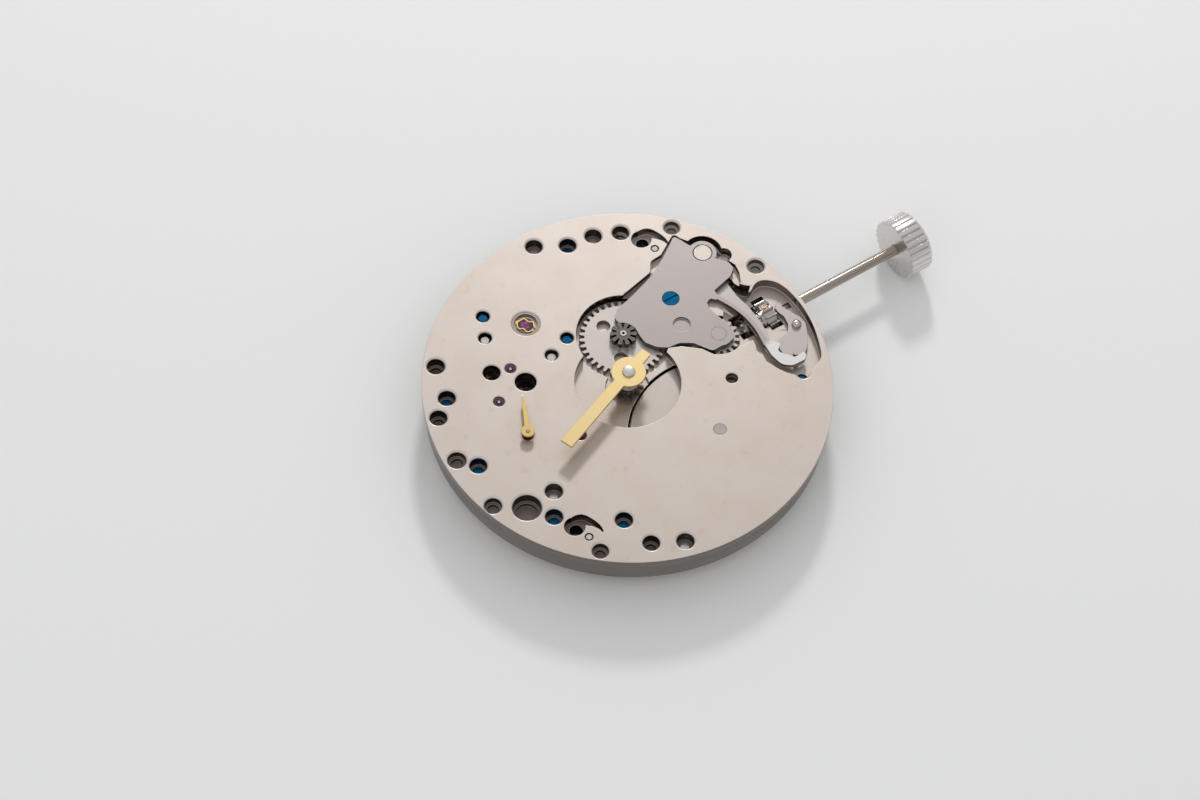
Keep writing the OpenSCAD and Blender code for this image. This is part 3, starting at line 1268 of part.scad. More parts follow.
module jumper_screw() {
    color(blued) at(jumper_screw_c) difference() {
        union() {
            slab(jumper_d + 0.01, jumper_d + 0.25) circle(0.77);
            slab(jumper_d + 0.2, 1.2) circle(0.42);
        }
        slab(jumper_d - eps, jumper_d + 0.12) square([3, 0.2], center = true);
    }
}

module setting_wheel() {
    color(steel) at(setting_c) slab(set_d0, set_d1) difference() {
        polygon(tooth_row(setting_z, setting_pr, set_add, set_ded, wheel_w, setting_phase));
        circle(0.5 + fit);
    }
}

module intermediate_wheel() {
    color(steel) at(inter_at) slab(set_d0, set_d1) difference() {
        polygon(tooth_row(inter_z, inter_pr, set_add, set_ded, wheel_w, inter_phase));
        circle(0.5 + fit);
    }
}

module minute_wheel() {
    pinion_z = 10;
    pinion_r = norm(minute_at) * pinion_z / 50;
    color(brass) at(minute_at) {
        slab(set_d0, set_d1) difference() {
            polygon(tooth_row(minute_z, minute_pr, set_add, set_ded, wheel_w, minute_phase));
            circle(0.3 + fit);
            for (a = [112, 232, 352]) at(along(a, 2.15)) circle(0.62);
        }
        slab(-0.2, set_d0 + eps) difference() {
            polygon(leaf_row(pinion_z, pinion_r, 0.2, 0.36, 0.6, 5));
            circle(0.3 + fit);
        }
    }
}

module cannon_pinion() {
    color(steel) difference() {
        union() {
            leaves(centre_c, cannon_z, cannon_pr, set_add, set_ded, cannon_phase, hour_recess_d - 0.45,
                hour_recess_d - 0.03);
            rod(centre_c, 0.95, -0.8, hour_recess_d - 0.4);
            rod(centre_c, 0.82, -minute_hand_z + 0.02, 0);
            rotate_extrude() polygon([[0, minute_hand_z - 0.1], [hand_hub_r, minute_hand_z - 0.1],
                [hand_hub_r, minute_hand_z + 0.34], [hand_hub_r - 0.08, minute_hand_z + 0.42],
                [0.25, minute_hand_z + 0.46], [0, minute_hand_z + 0.47]]);
        }
        rod(centre_c, 0.5 + fit, -0.95, hour_recess_d);
    }
}

module minute_hand() {
    tip = [[0, 0.52, 0], [minute_hand_l, 0.62, 0.1], [minute_hand_l, -0.62, 0.1], [0, -0.52, 0]];
    tail = [[0, 0.52, 0], [0, -0.52, 0], [-2.7, -0.5, 0.15], [-2.7, 0.5, 0.15]];
    color(brass) rotate(minute_hand_a) translate([0, 0, minute_hand_z]) linear_extrude(0.22)
        difference() {
            union() {
                circle(1.55);
                polygon(outline(tip));
                polygon(outline(tail));
            }
            circle(hand_hub_r);
        }
}

module seconds_hand() {
    color(brass) at(fourth_c) rotate(seconds_hand_a) translate([0, 0, seconds_hand_z])
        linear_extrude(0.16) difference() {
        union() {
            circle(0.6);
            polygon([[0, -0.28], [seconds_hand_l - 0.4, -0.13], [seconds_hand_l, 0],
                [seconds_hand_l - 0.4, 0.13], [0, 0.28]]);
        }
        circle(0.17);
    }
}

main_plate();
barrel_bridge();
train_bridge();
pallet_bridge();
balance_cock();
steady_pins();
bridge_screws();
small_screws();
plate_jewels();
bridge_jewels();
shock_settings();
shock_springs();
cap_jewels();
barrel_drum();
barrel_cover();
mainspring();
barrel_arbor();
ratchet_wheel();
ratchet_screw();
click();
click_spring();
crown_wheel();
crown_wheel_core();
crown_wheel_screw();
centre_arbor();
centre_wheel();
third_pinion();
third_wheel();
fourth_pinion();
fourth_wheel();
escape_pinion();
escape_wheel();
pallet_fork();
pallet_stones();
pallet_arbor();
balance_staff();
balance_wheel();
roller_table();
impulse_jewel();
hairspring();
hairspring_collet();
hairspring_stud();
stud_carrier();
regulator();
stem();
crown();
winding_pinion();
sliding_clutch();
setting_lever();
setting_lever_screw();
yoke();
yoke_spring();
lever_jumper();
jumper_screw();
setting_wheel();
intermediate_wheel();
cannon_pinion();
minute_wheel();
minute_hand();
seconds_hand();
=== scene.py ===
"""A hand-wound watch movement, dial side up, with its hour wheel and dial off.

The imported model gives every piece's shape and place. This script breaks the
edges of the pieces that catch the light, adds the small turned and threaded
details, and gives each piece the finish of the metal or stone it is made of.
"""

import json
import math

import bpy
from bpy.props import FloatProperty, FloatVectorProperty, PointerProperty
from bpy.types import Operator, Panel, PropertyGroup
from mathutils import Matrix, Vector

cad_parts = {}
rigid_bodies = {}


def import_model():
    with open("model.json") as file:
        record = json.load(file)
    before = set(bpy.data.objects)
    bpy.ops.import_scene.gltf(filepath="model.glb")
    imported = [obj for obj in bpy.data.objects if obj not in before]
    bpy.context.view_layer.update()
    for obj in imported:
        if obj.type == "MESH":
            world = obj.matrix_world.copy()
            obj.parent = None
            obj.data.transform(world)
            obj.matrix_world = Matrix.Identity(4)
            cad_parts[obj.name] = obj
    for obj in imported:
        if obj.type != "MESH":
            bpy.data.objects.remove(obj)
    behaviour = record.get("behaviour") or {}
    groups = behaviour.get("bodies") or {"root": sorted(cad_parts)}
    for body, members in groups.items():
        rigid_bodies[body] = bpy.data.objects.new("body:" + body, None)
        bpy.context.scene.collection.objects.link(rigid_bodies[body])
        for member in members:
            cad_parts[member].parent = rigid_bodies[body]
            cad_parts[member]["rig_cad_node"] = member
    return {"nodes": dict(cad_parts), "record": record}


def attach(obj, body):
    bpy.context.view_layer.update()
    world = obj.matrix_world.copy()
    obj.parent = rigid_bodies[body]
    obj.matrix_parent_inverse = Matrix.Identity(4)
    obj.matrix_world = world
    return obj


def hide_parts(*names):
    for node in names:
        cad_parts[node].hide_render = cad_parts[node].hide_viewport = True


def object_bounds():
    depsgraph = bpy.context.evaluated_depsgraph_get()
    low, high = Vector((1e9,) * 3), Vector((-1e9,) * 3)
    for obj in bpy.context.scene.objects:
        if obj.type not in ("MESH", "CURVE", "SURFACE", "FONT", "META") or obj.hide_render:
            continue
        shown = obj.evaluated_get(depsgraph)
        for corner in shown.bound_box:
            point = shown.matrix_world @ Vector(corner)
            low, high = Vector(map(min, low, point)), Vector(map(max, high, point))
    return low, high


bl_info = {
    "name": "Watch movement",
    "version": (1, 0, 0),
    "blender": (4, 5, 0),
    "location": "View3D > Sidebar > Movement",
    "description": "Finishes a hand-wound watch movement, piece by piece",
    "category": "Object",
}

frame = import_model()
CAD_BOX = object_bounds()
NODES = frame["nodes"]
BODY_OF = {
    node: body
    for body, nodes in frame["record"]["behaviour"]["bodies"].items()
    for node in nodes
}
MM = 0.001

# Places on the dial side, in millimetres from the middle of the plate
CENTRE = (0.0, 0.0)
BARREL = (4.2, -8.4)
BALANCE = (-4.4, 10.0)
THIRD = (-6.55, -2.45)
FOURTH = (-10.5, 0.0)
MINUTE_WHEEL = (2.3996, 4.3993)
CROWN_WHEEL = (11.0, 0.0)
SPRING_FOOT = (13.8, -5.0)
STEM_DEPTH = 1.9

# Heights and distances from the middle between which the plate is turned, in millimetres
TURNED_LOW = -1.2
TURNED_HIGH = -0.25
TURNED_OUT = 7.6

# Heights and places between which the plate's holes get painted shade, in millimetres
HOLES_LOW = -2.9
HOLES_HIGH = -0.12
HOLES_IN = 7.8
HOLES_OUT = 17.8
HOLES_SIDE = 8.5

# Heights where the painted shade on the leaves of the two pinions begins and ends, in
# millimetres
MINUTE_PINION_FOOT = -0.4
CANNON_LEAVES_TOP = 0.0

# The thread between the plate's rim and the crown, along the stem, in millimetres
THREAD_FROM = 18.2
THREAD_TO = 29.9
THREAD_CREST = 0.5
THREAD_PITCH = 0.17
THREAD_DEEP = 0.07
THREAD_HALF = THREAD_PITCH * 0.47
THREAD_STEPS = 20

# How the edges of a piece are found and broken
WELD = 0.0000015
FLAT_ANGLE = math.radians(0.05)
SHARP_ANGLE = math.radians(32)
SMOOTH_ANGLE = math.radians(30)
LEVEL = 0.9999

# Tones that several finishes share
# Painted shade for upright sides
SHADE = (0.02, 0.015, 0.012)
# Painted highlight for broken edges
PAINTED_HIGHLIGHT = (0.95, 0.92, 0.89)
# Painted shade on pinion leaves
PAINTED_LEAF_SHADE = (0.20, 0.175, 0.165)
WHEEL_STEEL = (0.66, 0.64, 0.62)

# Where the window's side of the room lies, and how bright the room is
WINDOW_SIDE = Vector((0.42, 0.58, 0.70)).normalized()
ROOM_DARK = 0.54
ROOM_LIGHT = 0.64


def colour_setting(name, default, description):
    """A colour that the user may change."""
    return FloatVectorProperty(
        name=name,
        description=description,
        subtype="COLOR",
        size=3,
        min=0.0,
        max=1.0,
        default=default,
    )


def length_setting(name, default, description):
    """A small length that the user may change, in metres."""
    return FloatProperty(
        name=name,
        description=description,
        unit="LENGTH",
        precision=6,
        min=0.0,
        default=default,
    )


class MovementSizes(PropertyGroup):
    """Widths of the broken edges and of the marks that tools leave."""

    plate_edge: length_setting(
        "Plate edge", 0.000045, "Width of the broken edges of the plate and bridges"
    )
    steel_edge: length_setting(
        "Steel edge", 0.000035, "Width of the broken edges of the keyless works"
    )
    hand_edge: length_setting(
        "Hand edge", 0.00004, "Width of the broken edges of the hands"
    )
    wheel_edge: length_setting(
        "Wheel edge", 0.00002, "Width of the broken edges of wheels and pinions"
    )
    grain: length_setting(
        "Grain", 0.00006, "Spacing of the fine lines that brushing leaves in metal"
    )
    turning: length_setting(
        "Turning marks", 0.00014, "Spacing of the rings that a lathe leaves in a recess"
    )


class MovementColours(PropertyGroup):
    """Colours of the metals and stones."""

    nickel: colour_setting("Nickel", (0.565, 0.50, 0.455), "Plated main plate")
    steel: colour_setting("Steel", (0.54, 0.49, 0.46), "Satin steel")
    jumper: colour_setting("Jumper", (0.405, 0.36, 0.345), "Satin steel of the jumper")
    bright: colour_setting("Bright steel", (0.74, 0.70, 0.68), "Polished steel")
    blued: colour_setting("Blued steel", (0.005, 0.12, 0.26), "Heat-blued screws")
    gilt: colour_setting("Gilt", (0.82, 0.65, 0.34), "Pale gilt hands")
    brass: colour_setting("Brass", (0.80, 0.60, 0.30), "Gilt brass wheels")
    ruby: colour_setting("Ruby", (0.040, 0.005, 0.024), "Dark ruby bearings")
    cap_ruby: colour_setting("Cap ruby", (0.46, 0.08, 0.36), "Ruby of the shock settings")
    floor: colour_setting("Floor", (0.93, 0.93, 0.92), "Pale floor")


def sizes():
    """The sizes set in the scene."""
    return bpy.context.scene.movement_sizes


def colours():
    """The colours set in the scene."""
    return bpy.context.scene.movement_colours


class Wire:
    """The output of a shader node, which adds Math nodes when it is reckoned with."""

    def __init__(self, sheet, socket):
        self.sheet = sheet
        self.socket = socket

    def reckon(self, operation, *others):
        """A Math node on this output and up to two other values."""
        values = dict(enumerate((self, *others)))
        return self.sheet.add("ShaderNodeMath", {"operation": operation}, values)

    def __add__(self, other):
        return self.reckon("ADD", other)

    __radd__ = __add__

    def __sub__(self, other):
        return self.reckon("SUBTRACT", other)

    def __rsub__(self, other):
        return self.sheet.value(other).reckon("SUBTRACT", self)

    def __mul__(self, other):
        return self.reckon("MULTIPLY", other)

    __rmul__ = __mul__

    def __truediv__(self, other):
        return self.reckon("DIVIDE", other)

    def __pow__(self, other):
        return self.reckon("POWER", other)

    def below(self, limit):
        """One where this value is less than the limit, and zero elsewhere."""
        return self.reckon("LESS_THAN", limit)

    def above(self, limit):
        """One where this value is more than the limit, and zero elsewhere."""
        return self.reckon("GREATER_THAN", limit)

    def between(self, low, high):
        """One between two limits, and zero elsewhere."""
        return self.above(low) * self.below(high)

    def step(self, low, high):
        """A soft step from zero at the low value to one at the high value."""
        return self.sheet.add(
            "ShaderNodeMapRange",
            {"interpolation_type": "SMOOTHSTEP"},
            {"Value": self, "From Min": low, "From Max": high},
        )


class Sheet:
    """A tree of shader nodes that is filled in from Python expressions."""

    def __init__(self, tree):
        self.tree = tree

    def add(self, kind, settings=None, sockets=None, output=0):
        """A new node with its settings, then the values or links of its sockets."""
        node = self.tree.nodes.new(kind)
        for key, setting in (settings or {}).items():
            setattr(node, key, setting)
        for key, value in (sockets or {}).items():
            self.feed(node.inputs[key], value)
        return Wire(self, node.outputs[output])

    def feed(self, socket, value):
        """Sets a socket to a value, or links it to another node's output."""
        if isinstance(value, Wire):
            self.tree.links.new(value.socket, socket)
        elif socket.type == "RGBA" and len(value) == 3:
            socket.default_value = (*value, 1.0)
        else:
            socket.default_value = value

    def value(self, number):
        """A plain number as a wire."""
        return self.add("ShaderNodeMath", {"operation": "ADD"}, {0: number, 1: 0.0})


class Finish(Sheet):
    """A new material for one kind of metal or stone."""

    def __init__(self, name):
        self.material = bpy.data.materials.new(name)
        self.material.use_nodes = True
        super().__init__(self.material.node_tree)
        self.shader = self.tree.nodes["Principled BSDF"]
        self.place = self.add("ShaderNodeTexCoord", output="Object")

    def set(self, **sockets):
        """Feeds the shader's sockets, with underscores for the spaces in their names."""
        for key, value in sockets.items():
            self.feed(self.shader.inputs[key.replace("_", " ")], value)

    def mix(self, share, first, second):
        """A colour between two others."""
        sockets = {0: share, 6: first, 7: second}
        return self.add("ShaderNodeMix", {"data_type": "RGBA"}, sockets, output=2)

    def along(self, axis, place=None):
        """How far a place lies along one axis, in metres."""
        sockets = {0: place or self.place}
        return self.add("ShaderNodeSeparateXYZ", None, sockets, output=axis)

    def stretched(self, scale, turn=0.0, centre=(0.0, 0.0, 0.0)):
        """The place on the piece, moved, turned about Z and scaled on each axis."""
        moved = self.add(
            "ShaderNodeVectorMath",
            {"operation": "SUBTRACT"},
            {0: self.place, 1: centre},
        )
        turned = self.add(
            "ShaderNodeVectorRotate",
            {"rotation_type": "Z_AXIS"},
            {"Vector": moved, "Angle": turn},
        )
        return self.add(
            "ShaderNodeVectorMath", {"operation": "MULTIPLY"}, {0: turned, 1: scale}
        )

    def noise(self, size, detail=2.0, roughness=0.5, place=None):
        """A cloudy pattern whose blotches are about the given size."""
        return self.add(
            "ShaderNodeTexNoise",
            None,
            {
                "Vector": place or self.place,
                "Scale": 1.0 / size,
                "Detail": detail,
                "Roughness": roughness,
            },
        )

    def brushed(self, spacing, turn=0.0):
        """Fine straight lines, as a brush or abrasive paper leaves them."""
        lines = self.stretched((1 / (40 * spacing), 1 / spacing, 1 / spacing), turn)
        return self.noise(1.0, 3.0, 0.6, lines)

    def polar(self, centre):
        """The distance from an axis along Z and the angle round it."""
        moved = self.stretched((1, 1, 1), 0.0, (centre[0] * MM, centre[1] * MM, 0.0))
        x, y = self.along(0, moved), self.along(1, moved)
        radius = (x * x + y * y).reckon("SQRT")
        return radius, y.reckon("ARCTAN2", x)

    def rings(self, centre, spacing):
        """Fine rings round an axis, as a lathe leaves them."""
        radius, angle = self.polar(centre)
        place = self.add(
            "ShaderNodeCombineXYZ", None, {0: radius / spacing, 1: angle * 0.7, 2: 0.0}
        )
        return self.noise(1.0, 3.0, 0.6, place)

    def slope(self):
        """One on level faces, zero on upright ones, and between them on a bevel."""
        facing = self.add("ShaderNodeTexCoord", output="Normal")
        return self.along(2, facing).reckon("ABSOLUTE")

    def cut(self, colour, share):
        """A colour with painted shade on upright sides and a painted highlight on broken
        edges.
        """
        level = self.slope()
        # Painted shade on the upright sides
        painted_side_shade = self.mix(1.0 - share, colour, SHADE)
        # A painted highlight on the broken edges
        painted_edge_highlight = self.mix(0.55, colour, PAINTED_HIGHLIGHT)
        edge = level.step(0.25, 0.55) * (1.0 - level.step(0.90, 0.985))
        return self.mix(edge, self.mix(level.below(0.25), colour, painted_side_shade), painted_edge_highlight)

    def bump(self, relief, depth, strength=1.0):
        """A surface normal that follows a relief of the given depth."""
        return self.add(
            "ShaderNodeBump",
            None,
            {"Height": relief, "Distance": depth, "Strength": strength},
        )


def dimmed(tone, share):
    """A tone with each of its parts lowered to a share."""
    return tuple(part * share for part in tone)


def nickel_finish():
    """Nickel plating with a faint grain, tiny pits, turned recesses, and painted shade in
    the holes.
    """
    f = Finish("nickel")
    tone = tuple(colours().nickel)
    grain = f.brushed(sizes().grain, 0.55)
    cloud = f.noise(0.0045, 3.0)
    stain = f.noise(0.0011, 2.0).step(0.62, 0.78)
    pits = f.noise(0.00016, 1.0).step(0.70, 0.78)
    turned = f.rings(CENTRE, sizes().turning)
    height = f.along(2)
    radius = f.polar(CENTRE)[0]
    recess = height.between(TURNED_LOW * MM, TURNED_HIGH * MM)
    sunk = recess * radius.below(TURNED_OUT * MM)
    ring = radius.between(HOLES_IN * MM, HOLES_OUT * MM) * f.along(0).below(HOLES_SIDE * MM)
    # Painted shade that darkens the holes in the ring round the plate
    painted_hole_shade = height.between(HOLES_LOW * MM, HOLES_HIGH * MM) * ring
    warmer = (tone[0] * 0.965, tone[1] * 0.945, tone[2] * 0.925)
    warm = f.mix(cloud.step(0.35, 0.7), tone, warmer)
    specked = f.mix(pits * 0.5 + stain * 0.14, warm, (0.26, 0.21, 0.17))
    relief = grain * 0.4 + f.noise(0.00010, 3.0) * 1.3 + turned * sunk * 2.4
    dull = 0.42 + grain * 0.10 + cloud * 0.03
    f.set(
        Base_Color=f.mix(painted_hole_shade * 0.6, f.cut(specked, 0.42), (0.09, 0.06, 0.05)),
        Metallic=1.0,
        Roughness=dull - sunk * 0.08 - f.slope().below(0.25) * 0.24,
        Normal=f.bump(relief, 0.0000045),
    )
    return f.material


def satin_steel(name, tone, turn, roughness=0.34):
    """Steel with fine straight lines and a little mottling."""
    f = Finish(name)
    grain = f.brushed(sizes().grain, turn)
    cloud = f.noise(0.0022, 2.0)
    f.set(
        Base_Color=f.cut(f.mix(grain * 0.5 + cloud * 0.3, tone, dimmed(tone, 0.86)), 0.5),
        Metallic=1.0,
        Roughness=roughness - 0.05 + grain * 0.14,
        Normal=f.bump(grain, 0.0000025),
    )
    return f.material


def jumper_finish():
    """Satin steel, with the foot of its spring arm polished to a lower roughness and given
    a painted highlight.
    """
    f = Finish("jumper_steel")
    grain = f.brushed(sizes().grain, 0.9)
    cloud = f.noise(0.0022, 2.0)
    # Painted highlight on the polished foot of the spring arm, which also gets a lower
    # roughness
    foot = 1.0 - f.polar(SPRING_FOOT)[0].step(0.0016, 0.0024)
    tone = tuple(colours().jumper)
    satin = f.mix(grain * 0.5 + cloud * 0.3, tone, dimmed(tone, 0.88))
    f.set(
        Base_Color=f.cut(f.mix(foot, satin, (0.92, 0.89, 0.87)), 0.45),
        Metallic=1.0,
        Roughness=0.30 + grain * 0.14 - foot * 0.14,
        Normal=f.bump(grain, 0.0000025),
    )
    return f.material


def turned_steel(name, tone, centre, roughness=0.26, pinion=None):
    """Steel turned round an axis, with fine rings, and painted shade on a polished pinion
    above a height.
    """
    f = Finish(name)
    rings = f.rings(centre, sizes().grain)
    cloud = f.noise(0.0018, 2.0)
    face = f.mix(rings * 0.5 + cloud * 0.3, tone, dimmed(tone, 0.82))
    dull = roughness + rings * 0.14
    if pinion is not None:
        shaded_polished_leaves = f.along(2).above(pinion * MM)
        # Painted shade on the leaves of the pinion, which are also polished to a lower
        # roughness
        face = f.mix(shaded_polished_leaves, face, PAINTED_LEAF_SHADE)
        dull = dull - shaded_polished_leaves * 0.12
    f.set(
        Base_Color=f.cut(face, 0.5),
        Metallic=1.0,
        Roughness=dull,
        Normal=f.bump(rings, 0.000003),
    )
    return f.material


def turned_brass(name, centre):
    """Gilt brass turned round an axis, with fine rings."""
    f = Finish(name)
    rings = f.rings(centre, sizes().grain)
    tone = tuple(colours().brass)
    f.set(
        Base_Color=f.mix(rings, tone, dimmed(tone, 0.8)),
        Metallic=1.0,
        Roughness=0.26 + rings * 0.14,
        Normal=f.bump(rings, 0.000003),
    )
    return f.material


def polished_steel(name, tone, roughness=0.16, leaves=None):
    """Polished steel with faint wipe marks, and painted shade on the leaves below a height.
    """
    f = Finish(name)
    wipes = f.noise(0.0006, 3.0)
    pits = f.noise(0.00012, 1.0).step(0.70, 0.80)
    face = f.mix(pits * 0.4 + wipes * 0.15, tone, dimmed(tone, 0.6))
    if leaves is not None:
        # Painted shade on the leaves below the given height
        face = f.mix(f.along(2).below(leaves * MM), face, (0.17, 0.15, 0.14))
    f.set(
        Base_Color=face,
        Metallic=1.0,
        Roughness=roughness + wipes * 0.12,
        Normal=f.bump(wipes, 0.0000015),
    )
    return f.material


def blued_finish():
    """Heat-blued steel that turns violet where the heat was less even."""
    f = Finish("blued")
    tone = tuple(colours().blued)
    cloud = f.noise(0.0007, 2.0)
    fine = f.brushed(sizes().grain, 0.9)
    violet = (0.07, 0.10, 0.40)
    f.set(
        Base_Color=f.mix(cloud.step(0.45, 0.8) * 0.5, tone, violet),
        Metallic=1.0,
        Roughness=0.20 + fine * 0.12,
        Normal=f.bump(fine, 0.0000012),
    )
    return f.material


def blued_spring_finish():
    """Blued spring steel, violet in places."""
    f = Finish("blued_spring")
    haze = f.noise(0.0009, 2.0)
    f.set(
        Base_Color=f.mix(haze, (0.03, 0.16, 0.42), (0.10, 0.10, 0.34)),
        Metallic=1.0,
        Roughness=0.22 + haze * 0.1,
    )
    return f.material


def gilt_finish(name, tone, turn, roughness=0.30):
    """Gilt brass with a fine lengthwise grain and slightly deeper patches."""
    f = Finish(name)
    grain = f.brushed(sizes().grain * 0.8, turn)
    cloud = f.noise(0.0014, 3.0)
    deeper = (tone[0] * 0.88, tone[1] * 0.80, tone[2] * 0.66)
    f.set(
        Base_Color=f.mix(grain * 0.35 + cloud * 0.35, tone, deeper),
        Metallic=1.0,
        Roughness=roughness + grain * 0.12,
        Normal=f.bump(grain * 0.6 + cloud * 0.6, 0.000003),
    )
    return f.material


def ruby_finish(name, tone, glow, centre=None):
    """Polished ruby with a painted glow in a lighter haze, and painted shade towards its
    rim.
    """
    f = Finish(name)
    haze = f.noise(0.0004, 3.0)
    # A painted glow where the haze is lighter
    lit = haze.step(0.3, 0.75)
    if centre:
        radius = f.polar(centre)[0]
        # Painted shade towards the rim of the cap jewel
        lit = lit * (1.0 - radius.step(0.0003, 0.00062))
    f.set(
        Base_Color=f.mix(lit, tone, glow),
        Metallic=0.0,
        Roughness=0.08 + haze * 0.06,
        IOR=1.76,
        Normal=f.bump(haze, 0.0000008),
    )
    return f.material


def floor_finish():
    """A plain pale floor with a barely visible tooth."""
    f = Finish("pale_floor")
    tone = tuple(colours().floor)
    tooth = f.noise(0.0012, 3.0)
    f.set(
        Base_Color=f.mix(tooth * 0.4, tone, dimmed(tone, 0.97)),
        Roughness=0.75,
        Normal=f.bump(tooth, 0.00001),
    )
    return f.material


def only(*objects):
    """Selects these objects and nothing else, and makes the first one active."""
    bpy.ops.object.select_all(action="DESELECT")
    for o in objects:
        o.select_set(True)
    bpy.context.view_layer.objects.active = objects[0]


def dress(node, material):
    """Gives a piece of the model its finish."""
    piece = NODES[node]
    piece.data.materials.clear()
    piece.data.materials.append(material)
    return piece


def eased(node, width, material, merge=False):
    """A copy of a piece with its sharp edges broken, its flat faces merged if asked."""
    only(NODES[node])
    bpy.ops.object.duplicate()
    piece = bpy.context.view_layer.objects.active
    piece.name = node + "_eased"
    del piece["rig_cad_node"]
    bpy.ops.object.mode_set(mode="EDIT")
    bpy.ops.mesh.select_all(action="SELECT")
    bpy.ops.mesh.remove_doubles(threshold=WELD)
    if merge:
        bpy.ops.mesh.dissolve_limited(angle_limit=FLAT_ANGLE)
    bpy.ops.object.mode_set(mode="OBJECT")
    edge = piece.modifiers.new("broken edges", "BEVEL")
    edge.width = width
    edge.segments = 2
    edge.limit_method = "ANGLE"
    edge.angle_limit = SHARP_ANGLE
    edge.use_clamp_overlap = False
    edge.miter_outer = "MITER_ARC"
    bpy.ops.object.modifier_apply(modifier=edge.name)
    bpy.ops.object.shade_smooth_by_angle(angle=SMOOTH_ANGLE)
    for face in piece.data.polygons:
        if max(abs(face.normal.x), abs(face.normal.z)) > LEVEL:
            face.use_smooth = False
    piece.data.materials.clear()
    piece.data.materials.append(material)
    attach(piece, BODY_OF[node])
    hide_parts(node)
    return piece


class MOVEMENT_OT_plates(Operator):
    """Finish the main plate, the bridges and the balance cock"""

    bl_idname = "movement.plates"
    bl_label = "Plate and bridges"

    def execute(self, context):
        nickel = nickel_finish()
        eased("main_plate", sizes().plate_edge, nickel)
        for node in ("barrel_bridge", "train_bridge", "pallet_bridge", "balance_cock"):
            eased(node, sizes().plate_edge, nickel, merge=True)
        return {"FINISHED"}


class MOVEMENT_OT_fastenings(Operator):
    """Finish the screws and the steady pins"""

    bl_idname = "movement.fastenings"
    bl_label = "Screws and pins"

    def execute(self, context):
        blued = blued_finish()
        for node in (
            "bridge_screws",
            "small_screws",
            "ratchet_screw",
            "crown_wheel_screw",
            "jumper_screw",
        ):
            eased(node, sizes().wheel_edge, blued)
        pins = polished_steel("pin_steel", tuple(colours().bright))
        eased("steady_pins", sizes().wheel_edge, pins)
        return {"FINISHED"}


class MOVEMENT_OT_jewels(Operator):
    """Finish the jewel bearings and the shock settings"""

    bl_idname = "movement.jewels"
    bl_label = "Jewels and shock settings"

    def execute(self, context):
        ruby = ruby_finish("ruby", tuple(colours().ruby), (0.10, 0.012, 0.06))
        glow = tuple(colours().cap_ruby)
        cap = ruby_finish("cap_ruby", (0.05, 0.006, 0.035), glow, BALANCE)
        for node in ("plate_jewels", "bridge_jewels", "pallet_stones", "impulse_jewel"):
            dress(node, ruby)
        dress("cap_jewels", cap)
        setting = turned_steel("setting_metal", (0.38, 0.32, 0.28), BALANCE)
        eased("shock_settings", sizes().wheel_edge, setting)
        lyre = gilt_finish("lyre_gilt", (0.92, 0.66, 0.24), 0.3, 0.24)
        eased("shock_springs", sizes().wheel_edge * 0.7, lyre)
        return {"FINISHED"}


class MOVEMENT_OT_power(Operator):
    """Finish the barrel, the mainspring and the winding wheels"""

    bl_idname = "movement.power"
    bl_label = "Barrel and winding wheels"

    def execute(self, context):
        drum = turned_steel("drum_nickel", tuple(colours().nickel), BARREL, 0.30)
        for node in ("barrel_drum", "barrel_cover"):
            eased(node, sizes().wheel_edge, drum)
        dress("mainspring", satin_steel("spring_steel", (0.50, 0.50, 0.50), 0.0))
        arbor = polished_steel("arbor_steel", tuple(colours().steel), 0.2)
        dress("barrel_arbor", arbor)
        ratchet = turned_steel("ratchet_steel", WHEEL_STEEL, BARREL, 0.24)
        eased("ratchet_wheel", sizes().wheel_edge, ratchet)
        crown_wheel = turned_steel("crown_wheel_steel", WHEEL_STEEL, CROWN_WHEEL, 0.24)
        eased("crown_wheel", sizes().wheel_edge, crown_wheel)
        dress("crown_wheel_core", arbor)
        eased("click", sizes().wheel_edge, arbor)
        dress("click_spring", arbor)
        return {"FINISHED"}


class MOVEMENT_OT_train(Operator):
    """Finish the going train and the escapement"""

    bl_idname = "movement.train"
    bl_label = "Going train and escapement"

    def execute(self, context):
        pinions = polished_steel("pinion_steel", tuple(colours().steel), 0.2)
        dress("centre_arbor", pinions)
        for node in ("third_pinion", "fourth_pinion", "escape_pinion", "pallet_arbor"):
            dress(node, pinions)
        places = {"centre_wheel": CENTRE, "third_wheel": THIRD, "fourth_wheel": FOURTH}
        for node, centre in places.items():
            brass = turned_brass(node + "_brass", centre)
            eased(node, sizes().wheel_edge * 0.8, brass)
        flat = satin_steel("escape_steel", tuple(colours().steel), 0.4, 0.22)
        dress("escape_wheel", flat)
        dress("pallet_fork", flat)
        return {"FINISHED"}


class MOVEMENT_OT_balance(Operator):
    """Finish the balance, its spring and the regulator"""

    bl_idname = "movement.balance"
    bl_label = "Balance and regulator"

    def execute(self, context):
        alloy = gilt_finish("balance_alloy", (0.82, 0.64, 0.34), 0.0, 0.22)
        eased("balance_wheel", sizes().wheel_edge, alloy)
        staff = polished_steel("staff_steel", tuple(colours().bright), 0.14)
        for node in ("balance_staff", "roller_table", "hairspring_stud"):
            dress(node, staff)
        dress("hairspring_collet", gilt_finish("collet_brass", tuple(colours().brass), 0.0))
        dress("hairspring", blued_spring_finish())
        index = satin_steel("index_steel", tuple(colours().bright), 1.1, 0.18)
        for node in ("stud_carrier", "regulator"):
            eased(node, sizes().wheel_edge, index)
        return {"FINISHED"}


